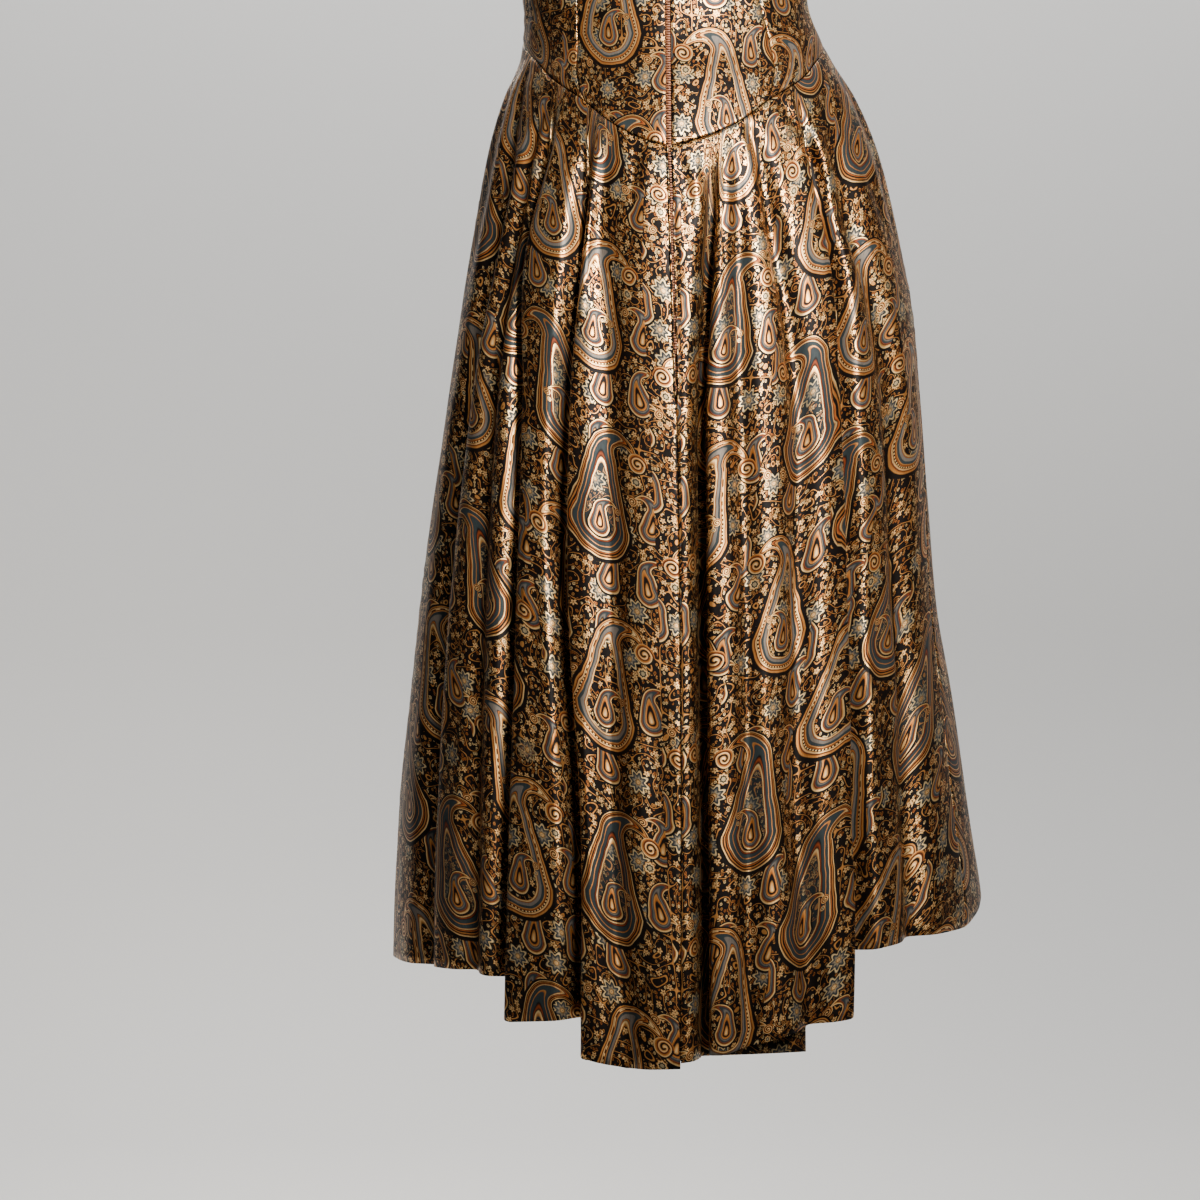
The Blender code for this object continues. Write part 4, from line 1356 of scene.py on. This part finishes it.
RICH_BANDS = bands(
    (0.0, "black"), (0.53, "black"), (0.545, "gold"), (0.565, "pale"), (0.58, "black"),
    (0.59, "copper"), (0.60, "black"), (0.61, "grey"), (0.675, "grey"), (0.685, "slate"),
    (0.745, "slate"), (0.755, "gold"), (0.77, "gold"), (0.78, "black"), (0.79, "rust"),
    (0.80, "copper"), (0.81, "black"), (0.85, "black"), (0.86, "gold"), (0.885, "pale"), (0.90, "rust"),
    (0.915, "black"), (0.935, "copper"), (0.955, "gold"), (0.975, "gold"), (0.99, "black"),
    (1.0, "black"),
)
DARK_BANDS = bands(
    (0.0, "slate"), (0.44, "slate"), (0.45, "gold"), (0.475, "pale"), (0.485, "black"), (0.51, "rust"),
    (0.53, "black"), (0.55, "slate"), (0.63, "slate"), (0.64, "copper"), (0.652, "gold"),
    (0.662, "slate"), (0.76, "slate"), (0.77, "gold"), (0.785, "pale"), (0.795, "black"),
    (0.815, "rust"), (0.83, "copper"), (0.84, "black"), (0.875, "black"), (0.885, "gold"),
    (0.905, "copper"), (0.915, "black"), (0.94, "black"), (0.95, "gold"), (0.978, "pale"),
    (0.988, "black"), (1.0, "black"),
)
SMALL_BANDS = bands(
    (0.0, "pale"), (0.14, "gold"), (0.20, "black"), (0.30, "black"), (0.34, "copper"), (0.42, "gold"),
    (0.46, "black"), (0.52, "grey"), (0.60, "slate"), (0.68, "slate"), (0.72, "rust"), (0.77, "black"),
    (0.83, "gold"), (0.92, "pale"), (0.96, "black"), (1.0, "black"),
)
CURL_BANDS = bands(
    (0.0, "pale"), (0.16, "gold"), (0.22, "black"), (0.36, "black"), (0.42, "gold"), (0.52, "pale"),
    (0.57, "rust"), (0.66, "black"), (0.76, "copper"), (0.83, "gold"), (0.93, "pale"), (0.97, "black"),
    (1.0, "black"),
)
ROSETTE_BANDS = bands(
    (0.0, "cream"), (0.28, "cream"), (0.36, "black"), (0.52, "slate"), (0.60, "pale"), (0.82, "gold"),
    (0.90, "black"), (1.0, "black"),
)
FLOWER_BANDS = bands(
    (0.0, "rust"), (0.08, "pale"), (0.17, "gold"), (0.21, "black"), (0.27, "cream"), (0.40, "grey"),
    (0.52, "slate"), (0.64, "slate"), (0.70, "pale"), (0.80, "cream"), (0.86, "black"), (1.0, "black"),
)
STAR_BANDS = bands(
    (0.0, "black"), (0.14, "black"), (0.22, "gold"), (0.55, "pale"), (0.75, "gold"), (0.84, "black"),
    (1.0, "black"),
)


@dataclass(frozen=True)
class Boteh:
    """A bent teardrop of the pattern, with a curl at its tip and a rosette under it.

    Its spine runs straight up from the middle of the round end, then bends to the left
    on a circle. Sizes are in metres and the lean is in degrees, to the left.
    """

    bulb: float
    straight: float
    hook: float
    reach: float
    lean: float
    curl: float
    rosette: float
    taper: float = 0.90
    fullness: float = 0.85
    curl_start: float = 0.97

    def tip(self) -> tuple[float, float]:
        """Where the spine ends, before the lean."""
        turn = (self.reach * self.curl_start - self.straight) / self.hook
        return -self.hook + self.hook * math.cos(turn), self.straight + self.hook * math.sin(turn)

    def leaned(self, x: Socket, y: Socket) -> tuple[Socket, Socket]:
        """Coordinates along the leaning teardrop."""
        c, s = math.cos(math.radians(self.lean)), math.sin(math.radians(self.lean))
        return x * c + y * s, y * c - x * s

    def ring(self, x: Socket, y: Socket) -> Socket:
        """A value that is 0 in the middle of the round end and 1 at the outline."""
        bent = y.beyond(self.straight)
        dx, dy = x + self.hook, (y - self.straight).at_least(0.0)
        radius = (dx * dx + dy * dy).root()
        turn = dy.angle_to(dx)
        aside = x + bent * (radius - self.hook - x)
        along = y.at_most(self.straight) + bent * turn * self.hook
        above, below = along.at_least(0.0) / self.reach, along.at_most(0.0) / self.bulb
        width = (1.0 - above.at_most(1.0) ** self.fullness * self.taper) * self.bulb
        aside = aside / width
        return (aside * aside + above * above + below * below).root()


@dataclass(frozen=True)
class Bloom:
    """A scattered flower: its spacing and radius in metres, and its petals."""

    spacing: float
    radius: float
    petals: int
    notch: float
    bands: Stops
    kept: float
    randomness: float


@dataclass(frozen=True)
class Brocade:
    """Paisley jacquard: metallic figure on a near-black satin ground.

    Sizes are in metres on the cloth's own coordinates. The large teardrops stand on a
    lattice of columns and repeats, with the small ones on a finer lattice between them.
    """

    column: float = 0.074
    repeat: float = 0.134
    middle: Range = (0.0080, -0.0330)
    large: Boteh = Boteh(0.0260, 0.050, 0.0155, 0.098, 4.0, 0.0075, 0.0050)
    nested: Boteh = Boteh(0.0088, 0.011, 0.0075, 0.031, 6.0, 0.0028, 0.0020)
    nested_place: Range = (0.0005, -0.0020)
    small: Boteh = Boteh(0.0100, 0.012, 0.0085, 0.036, -10.0, 0.0036, 0.0026)
    small_share: Range = (2.0, 3.0)
    small_shift: Range = (0.62, 0.38)
    small_middle: Range = (0.0020, -0.0110)
    small_chance: Range = (0.377, 0.613)
    small_turned: float = 0.7
    small_kept: float = 0.36
    flower: Bloom = Bloom(0.030, 0.0100, 8, 0.17, FLOWER_BANDS, 0.45, 0.5)
    star: Bloom = Bloom(0.0078, 0.0029, 5, 0.30, STAR_BANDS, 0.42, 0.9)
    dark_kind: Range = (0.35, 0.45)
    halo: Range = (1.11, 1.08)
    rim: Range = (1.012, 0.99)
    beads: float = 52.0
    bead_tones: Range = (-0.1, 0.4)
    bead_band: tuple[float, float, float] = (0.831, 0.012, 0.006)
    rich_inside: Range = (0.535, 0.525)
    dark_inside: Range = (0.440, 0.430)
    dark_ground: float = 0.45
    curl_drop: float = 0.15
    curl_turn: float = 0.42 / math.tau
    rosette_drop: float = 1.15
    rosette_aside: float = 0.1
    rosette_petals: tuple[int, float] = (8, 0.10)
    warp_scale: float = 60.0
    warp: tuple[float, float, float] = (0.003, 0.003, 0.0)
    leaf_scale: tuple[float, float, float] = (500.0, 340.0, 1.0)
    leaf_rim: tuple[float, float, float] = (0.31, 0.052, 0.030)
    leaf_core: Range = (0.12, 0.07)
    leaf_kept: Range = (0.37, 0.39)
    leaf_golden: Range = (0.30, 0.62)
    leaf_pale: Range = (0.60, 0.72)
    vine_scale: float = 58.0
    vines: float = 7.0
    vine_edge: Range = (0.19, 0.15)
    vine_core: Range = (0.055, 0.030)
    grain_scale: tuple[float, float, float] = (2300.0, 160.0, 1.0)
    grain_tones: Range = (0.42, 0.72)
    grain_share: float = 0.30
    grain_roughness: float = 0.06
    relief: float = 0.45
    relief_depth: float = 0.15 * MM
    gold_tones: Range = (0.035, 0.24)
    gold_gloss: float = 0.08
    gold_metal: float = 0.58
    metal: float = 0.30
    roughness: float = 0.43
    wrong_side: bool = False
    dulling: float = 0.55

    def build(self, name: str) -> Material:
        """The finished material; the wrong side is duller and has no large figure."""
        graph = Graph(name)
        cloth = graph.coordinates("UV")
        noise = graph.noise(cloth, self.warp_scale, 1.0, "Color")
        drawn = graph.vector("MULTIPLY", graph.vector("SUBTRACT", noise, (0.5, 0.5, 0.5)), self.warp)
        place = graph.vector("ADD", cloth, drawn)
        colour = self.ground(graph, place)
        if self.wrong_side:
            colour = graph.mix(self.dulling, colour, THREADS.black)
        else:
            colour = self.figure(graph, place, colour)
        grain = graph.noise(graph.vector("MULTIPLY", cloth, self.grain_scale), 1.0)
        gold = graph.node("ShaderNodeRGBToBW", {}, {0: colour}).out().rise(*self.gold_tones)
        colour = graph.mix(grain.rise(*self.grain_tones) * self.grain_share, colour, THREADS.black)
        graph.surface(
            Base_Color=colour, Metallic=self.metal + gold * self.gold_metal,
            Roughness=self.roughness - gold * self.gold_gloss + grain * self.grain_roughness,
            Normal=graph.bump(self.relief, self.relief_depth, grain), Specular_IOR_Level=0.10,
        )
        return graph.material

    def ground(self, graph: Graph, place: Socket) -> Socket:
        """Small leaves, tendrils and flowers on black."""
        leaves = graph.cells(graph.vector("MULTIPLY", place, self.leaf_scale), 1.0, 1.0)
        near = leaves.out("Distance")
        golden, paler, shown = graph.parts("Color", leaves.out("Color"))
        leaf = near.band(*self.leaf_rim).at_least(near.rise(*self.leaf_core)) * shown.rise(*self.leaf_kept)
        petal = graph.mix(golden.rise(*self.leaf_golden), THREADS.copper, THREADS.gold)
        petal = graph.mix(paler.rise(*self.leaf_pale), petal, THREADS.pale)
        colour = graph.mix(leaf, THREADS.black, petal)
        line = ((graph.noise(place, self.vine_scale, 0.0) * self.vines).fraction() - 0.5).size()
        colour = graph.mix(line.rise(*self.vine_edge), colour, THREADS.black)
        colour = graph.mix(line.rise(*self.vine_core), colour, THREADS.gold)
        for bloom in (self.star, self.flower):
            mask, petals = self.scattered(graph, place, bloom)
            colour = graph.mix(mask, colour, petals)
        return colour

    def scattered(self, graph: Graph, place: Socket, bloom: Bloom) -> tuple[Socket, Socket]:
        """Where a scattered flower lies, and its colour there."""
        cells = graph.cells(place, 1.0 / bloom.spacing, bloom.randomness)
        x, y, _ = graph.parts("XYZ", graph.vector("SUBTRACT", place, cells.out("Position")))
        chance, turned, _ = graph.parts("Color", cells.out("Color"))
        ring = self.petalled(x, y, bloom.radius, bloom.petals, bloom.notch, turned * 3.0)
        shown = ring.rise(*SOFT_RIM) * chance.rise(bloom.kept, bloom.kept + 0.01)
        return shown, graph.ramp(bloom.bands, ring)

    def petalled(
        self, x: Socket, y: Socket, radius: float, petals: int, notch: float, turned: Number = 0.0,
    ) -> Socket:
        """A value that is 0 in the middle of a flower and 1 at its petals' edge."""
        edge = (y.angle_to(x) * float(petals) + turned).cosine() * notch + (1.0 - notch)
        return (x * x + y * y).root() / radius / edge

    def figure(self, graph: Graph, place: Socket, ground: Socket) -> Socket:
        """The teardrops over the ground.

        Args:
            graph: the material's graph.
            place: the cloth's coordinates.
            ground: the colour under them.

        Returns:
            The colour of the whole figure.
        """
        across, up, _ = graph.parts("XYZ", place)
        columns, rows = across / self.column, up / self.repeat
        odd = (columns.floor() * 0.5).fraction() * 2.0
        rows = rows + odd * 0.5
        mirror = 1.0 - odd * 2.0
        dark = (columns.floor() * 0.25 + rows.floor() * 0.5).fraction().rise(*self.dark_kind)
        x = (columns.fraction() - 0.5) * mirror * self.column - self.middle[0]
        y = (rows.fraction() - 0.5) * self.repeat - self.middle[1]
        colour = ground
        for boteh, (x, y), shown in (
            (self.small, *self.finer_lattice(columns, rows, mirror)),
            (self.large, (x, y), 1.0),
            (self.nested, (x - self.nested_place[0], y - self.nested_place[1]), 1.0),
        ):
            u, v = boteh.leaned(x, y)
            ring = boteh.ring(u, v)
            if boteh is self.large:
                bands = self.large_bands(graph, ring, (u.angle_to(v) * self.beads).sine(), dark, ground)
            else:
                bands = graph.ramp(SMALL_BANDS, ring)
            colour = graph.mix(ring.rise(*self.halo) * shown, colour, THREADS.black)
            colour = graph.mix(ring.rise(*self.rim) * shown, colour, bands)
            colour = self.hooked_end(graph, u, v, boteh, colour, shown)
        return colour

    def finer_lattice(
        self, columns: Socket, rows: Socket, mirror: Socket,
    ) -> tuple[tuple[Socket, Socket], Socket]:
        """Coordinates round a small teardrop, and 1 where there is one."""
        across, up = self.small_share
        aside, above = columns * across + self.small_shift[0], rows * up + self.small_shift[1]
        chance = (aside.floor() * self.small_chance[0] + above.floor() * self.small_chance[1]).fraction()
        turned = mirror * (chance.beyond(self.small_turned) * 2.0 - 1.0)
        x = (aside.fraction() - 0.5) * turned * (self.column / across) - self.small_middle[0]
        y = (above.fraction() - 0.5) * (self.repeat / up) - self.small_middle[1]
        return (x, y), chance.beyond(self.small_kept)

    def large_bands(
        self, graph: Graph, ring: Socket, beads: Socket, dark: Socket, ground: Socket,
    ) -> Socket:
        """The bands of a large teardrop of the rich or the dark kind, with ground inside."""
        rich = graph.ramp(RICH_BANDS, ring)
        rich = graph.mix(beads.rise(*self.bead_tones) * ring.band(*self.bead_band), rich, THREADS.pale)
        rich = graph.mix(ring.rise(*self.rich_inside), rich, ground)
        inside = ring.rise(*self.dark_inside) * self.dark_ground
        filled = graph.mix(inside, graph.ramp(DARK_BANDS, ring), ground)
        return graph.mix(dark, rich, filled)

    def hooked_end(
        self, graph: Graph, x: Socket, y: Socket, boteh: Boteh, colour: Socket, shown: Number,
    ) -> Socket:
        """The curl at a teardrop's tip and the rosette under it."""
        tip_x, tip_y = boteh.tip()
        curl_x, curl_y = x - tip_x, y - (tip_y - self.curl_drop * boteh.curl)
        radius = (curl_x * curl_x + curl_y * curl_y).root() / boteh.curl
        coil = radius - curl_y.angle_to(curl_x) * self.curl_turn
        colour = graph.mix(radius.rise(*SOFT_RIM) * shown, colour, graph.ramp(CURL_BANDS, coil))
        low = tip_y - boteh.curl * self.rosette_drop - boteh.rosette * self.rosette_drop
        aside = tip_x + self.rosette_aside * boteh.curl
        rose = self.petalled(x - aside, y - low, boteh.rosette, *self.rosette_petals)
        return graph.mix(rose.rise(*SOFT_RIM) * shown, colour, graph.ramp(ROSETTE_BANDS, rose))


@dataclass(frozen=True)
class BrushedMetal:
    """Copper-tone lacquered metal of the slider and pull."""

    colour: Colour = (0.55, 0.33, 0.17)
    worn_colour: Colour = (0.72, 0.50, 0.30)
    wear_scale: float = 900.0

    def build(self, name: str) -> Material:
        """The finished material."""
        graph = Graph(name)
        wear = graph.noise(graph.coordinates("Object"), self.wear_scale, 3.0)
        worn = wear.rise(0.45, 0.75)
        graph.surface(
            Base_Color=graph.mix(worn * 0.5, self.colour, self.worn_colour), Metallic=1.0,
            Roughness=0.24 + worn * 0.14, Normal=graph.bump(0.2, 0.0001, wear),
        )
        return graph.material


@dataclass(frozen=True)
class Nylon:
    """Copper-brown yarn or moulded nylon of the zip."""

    colour: Colour = (0.30, 0.115, 0.05)
    dark: Colour = (0.10, 0.035, 0.018)
    roughness: float = 0.42
    weave_scale: float = 620.0
    tone_scale: float = 300.0

    def build(self, name: str) -> Material:
        """The finished material."""
        graph = Graph(name)
        place = graph.coordinates("Object")
        inputs = {"Vector": place, "Scale": self.weave_scale, "Distortion": 0.6}
        weave = graph.node("ShaderNodeTexWave", {"bands_direction": "Z"}, inputs).out("Fac")
        tone = graph.noise(place, self.tone_scale)
        graph.surface(
            Base_Color=graph.mix(tone.rise(0.3, 0.7) * 0.6, self.colour, self.dark),
            Roughness=self.roughness + tone * 0.1, Normal=graph.bump(0.3, 0.0001, weave),
        )
        return graph.material


def plain_paper(name: str) -> Material:
    """The pale floor and backdrop."""
    graph = Graph(name)
    graph.surface(Base_Color=(0.78, 0.77, 0.75), Roughness=0.9)
    return graph.material


# ---------------------------------------------------------------- studio


Place = tuple[float, float, float]
COOL: Colour = (1.0, 1.0, 1.0)
WARM: Colour = (1.0, 0.95, 0.88)


class Lamp(NamedTuple):
    """A soft area light: where it stands and faces, its size, watts, colour and spread."""

    name: str
    place: Place
    target: Place
    size: tuple[float, float]
    power: float
    colour: Colour
    spread: float = 180.0


@dataclass(frozen=True)
class Studio:
    """Floor and backdrop, lights and the camera of the photograph's view."""

    floor_height: float = -1.80
    sweep_near: float = 4.6
    sweep_far: float = -4.4
    sweep_radius: float = 0.9
    sweep_width: float = 18.0
    sweep_steps: int = 16
    wall_height: float = 5.0
    air: Colour = (0.92, 0.93, 1.0)
    air_strength: float = 0.06
    camera_place: Place = (0.0493, 2.6, -0.847)
    lens: float = 104.0
    lamps: tuple[Lamp, ...] = (
        Lamp("key", (-0.80, 1.75, 0.50), (-0.02, 0.1, -0.42), (0.80, 0.90), 15.5, WARM, 45.0),
        Lamp("fill", (2.0, 1.5, -0.1), (0.0, 0.0, -0.8), (0.9, 1.6), 3.0, COOL),
        Lamp("front_fill", (0.5, -2.9, 1.1), (0.0, 0.0, -0.6), (1.4, 1.4), 60.0, WARM),
        Lamp("backdrop", (0.0, -2.4, 2.6), (0.0, -4.4, -0.6), (4.5, 0.8), 190.0, COOL),
    )

    def sweep(self) -> None:
        """A pale floor that curves up into a backdrop."""
        work = bmesh.new()
        half = 0.5 * self.sweep_width
        start = [work.verts.new((sign * half, self.sweep_near, self.floor_height)) for sign in (-1, 1)]
        edge = work.edges.new(start)
        bottom = self.sweep_far + self.sweep_radius
        path = [(self.sweep_near, 0.0), (bottom, 0.0)]
        for i in range(1, self.sweep_steps + 1):
            turn = math.pi / 2 * i / self.sweep_steps
            away, up = self.sweep_radius * math.sin(turn), self.sweep_radius * (1 - math.cos(turn))
            path.append((bottom - away, up))
        path.append((self.sweep_far, self.wall_height))
        for (y, z), (next_y, next_z) in zip(path[:-1], path[1:]):
            new = bmesh.ops.extrude_edge_only(work, edges=[edge])["geom"]
            verts = [item for item in new if isinstance(item, bmesh.types.BMVert)]
            bmesh.ops.translate(work, vec=(0.0, next_y - y, next_z - z), verts=verts)
            edge = next(item for item in new if isinstance(item, bmesh.types.BMEdge))
        bmesh.ops.recalc_face_normals(work, faces=work.faces)
        if sum(face.normal.z for face in work.faces) < 0.0:
            bmesh.ops.reverse_faces(work, faces=work.faces)
        made = linked_mesh("studio_sweep", work, plain_paper("pale_paper"))
        made.data.shade_smooth()

    def light(self, lamp: Lamp) -> None:
        """Hangs a lamp so that it faces its target."""
        data = bpy.data.lights.new(lamp.name, "AREA")
        data.shape = "RECTANGLE"
        data.size, data.size_y = lamp.size
        data.energy = lamp.power
        data.spread = math.radians(lamp.spread)
        data.color = lamp.colour
        made = linked(lamp.name, data)
        made.location = lamp.place
        facing = Vector(lamp.target) - Vector(lamp.place)
        made.rotation_euler = facing.to_track_quat("-Z", "Y").to_euler()

    def build(self) -> None:
        """Makes everything round the dress."""
        self.sweep()
        world = bpy.data.worlds.new("studio_air")
        world.use_nodes = True
        background = world.node_tree.nodes["Background"]
        background.inputs["Color"].default_value = (*self.air, 1.0)
        background.inputs["Strength"].default_value = self.air_strength
        bpy.context.scene.world = world
        for lamp in self.lamps:
            self.light(lamp)
        data = bpy.data.cameras.new("camera")
        data.sensor_width = 36.0
        data.lens = self.lens
        camera = linked("camera", data)
        camera.location = self.camera_place
        camera.rotation_euler = (math.pi / 2, 0.0, math.pi)
        bpy.context.scene.camera = camera


# ---------------------------------------------------------------- zip


CENTRE_BACK = next(fold for fold in FOLDS if fold.name == "centre_back")
CENTRE_BACK_POINT = WAIST_SEAM[0].height


@dataclass(frozen=True)
class Zip:
    """The coil zip down the centre back, with its tape inside the cloth."""

    skirt: Skirt
    top: float = -0.059
    bottom: float = -0.700
    half_width: float = 1.6 * MM
    pitch: float = 1.9 * MM
    link_depth: float = 1.3 * MM
    link_length: float = 1.25 * MM
    link_edge: float = 0.3 * MM
    link_lean: float = 9.0
    link_inset: float = 0.35 * MM
    tape_half: float = 7.5 * MM
    tape: float = 0.8 * MM
    tape_depth: float = 2.6 * MM
    tape_lift: float = 0.9 * MM
    tape_droop: float = 0.5 * MM
    tape_rows: int = 130
    tape_columns: int = 9

    def seam_point(self, height: Array, across: Array, out: Array) -> Array:
        """Points beside the centre back seam, out from the cloth there."""
        seam = np.where(height < CENTRE_BACK_POINT, self.skirt.bearing_of(CENTRE_BACK, height), 0.0)
        bearing = seam + FIGURE.degrees_for(across, seam, height)
        return FIGURE.point(bearing, height, out - self.skirt.trough(bearing, height))

    def coil(self, finish: Material) -> None:
        """The closed coil: one small rounded link after another."""
        count = round((self.top - self.bottom) / self.pitch)
        heights = np.linspace(self.top, self.bottom, count)
        zero = np.zeros(count)
        places = self.seam_point(heights, zero, zero)
        ahead = self.seam_point(heights + MM, zero, zero)
        size = Matrix.Diagonal((2.0 * self.half_width, self.link_depth, self.link_length, 1.0))
        work = bmesh.new()
        for i, (place, up) in enumerate(zip(places, ahead)):
            tilt = math.atan2(-(up[1] - place[1]), up[2] - place[2])
            lean = math.radians(self.link_lean if i % 2 else -self.link_lean)
            turn = Matrix.Rotation(tilt, 4, "X") @ Matrix.Rotation(lean, 4, "Y")
            seat = Matrix.Translation(Vector(place) + Vector((0.0, -self.link_inset, 0.0))) @ turn
            made = bmesh.ops.create_cube(work, size=1.0, matrix=seat @ size)
            edges = list({edge for vert in made["verts"] for edge in vert.link_edges})
            bmesh.ops.bevel(
                work, geom=edges, offset=self.link_edge, offset_type="OFFSET", affect="EDGES",
                segments=1, profile=0.5, material=-1,
            )
        made = linked_mesh("zip_coil_links", work, finish)
        made.data.shade_smooth()
        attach(made, BODY)
        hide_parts("zip_chain")
        log.info("zip coil: %d links", count)

    def tape_piece(self, finish: Material) -> None:
        """The woven tape that carries the coil, just inside the cloth."""
        height, aside = strip(self.top, self.bottom, self.tape_half, self.tape_rows, self.tape_columns)
        droop = self.tape_droop * smooth_step(np.abs(aside) / self.tape_half)
        points = self.seam_point(height, aside, -self.tape_depth + self.tape_lift - droop)
        grid = ClothGrid(points, np.stack([aside, height], -1))
        made = ClothMaker(wall=self.tape).piece("zip_tape", grid, "zip_coil", [finish])
        log.info("zip tape: %.0f mm long", (self.top - self.bottom) / MM)


@dataclass(frozen=True)
class SeamAllowance:
    """The pressed-open allowances of cloth behind a seam of the skirt."""

    skirt: Skirt
    half: float = 11.0 * MM
    depth: float = 2.2 * MM
    wall: float = 0.7 * MM
    waist_clearance: float = 6.0 * MM
    hem_clearance: float = 1.5 * MM
    rows: int = 120
    columns: int = 13

    def build(self, name: str, top: Optional[float], finish: Material) -> None:
        """A strip behind one seam.

        Args:
            name: the seam's row in the fold table.
            top: height at which it starts, or none for just under the waist seam.
            finish: its material.
        """
        fold = next(row for row in FOLDS if row.name == name)
        if top is None:
            top = float(waist_seam(np.array(fold.seam))) - self.waist_clearance
        bottom = -min(fold.hem_before, fold.hem_after) * MM + self.hem_clearance
        height, aside = strip(top, bottom, self.half, self.rows, self.columns)
        seam = self.skirt.bearing_of(fold, height)
        bearing = seam + FIGURE.degrees_for(aside, seam, height)
        inward = self.depth + self.skirt.trough(bearing, height) + CREASE_FIELD.depth_at(bearing, height)
        grid = ClothGrid(FIGURE.point(bearing, height, -inward), np.stack([aside, height], -1))
        made = ClothMaker(wall=self.wall).piece(name + "_allowance", grid, "brocade", [finish])
        2.0 * self.half
        log.info("%s: allowances %.0f mm long", name, (top - bottom) / MM)


# ---------------------------------------------------------------- the dress


class SkirtPiece(NamedTuple):
    """A piece of the skirt: its node, where it lies and where its cloth is straight."""

    node: str
    spans: tuple[tuple[str, str], ...]
    middle: str


SKIRT_PIECES = (
    SkirtPiece("skirt_back_left", (("side_left", "centre_back"),), "centre_back"),
    SkirtPiece("skirt_back_right", (("centre_back", "side_right"),), "centre_back"),
    SkirtPiece(
        "skirt_front", (("side_right", "centre_front_end"), ("centre_front_start", "side_left")),
        "centre_front",
    ),
)


YOKES = {
    "bodice_back_left": ("bodice_back_yoke_left",),
    "bodice_back_right": ("bodice_back_yoke_right",),
}


def main() -> None:
    """Builds the dress and its studio."""
    logging.basicConfig(level=logging.INFO, format="%(name)s %(message)s")
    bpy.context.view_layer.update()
    finishes = [Brocade().build("brocade"), Brocade(wrong_side=True).build("brocade_wrong_side")]
    maker = ClothMaker()
    skirt = Skirt()
    for piece in SKIRT_PIECES:
        maker.panel([piece.node], skirt.sheet(piece.spans, piece.middle), finishes)
    for node, grid in Bodice(skirt=skirt).panels().items():
        maker.panel([node, *YOKES.get(node, ())], grid, finishes)
    fastener = Zip(skirt)
    fastener.coil(Nylon().build("zip_coil"))
    fastener.tape_piece(Nylon(roughness=0.8).build("zip_tape"))
    allowance = SeamAllowance(skirt)
    for seam, top in (("centre_back", fastener.bottom), ("side_left", None), ("side_right", None)):
        allowance.build(seam, top, finishes[1])
    metal = BrushedMetal().build("zip_metal")
    for node in ("zip_slider", "zip_pull"):
        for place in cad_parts[node].material_slots:
            place.material = metal
        log.info("%s keeps the part's own shape", node)
    Studio().build()


if __name__ == "__main__":
    main()
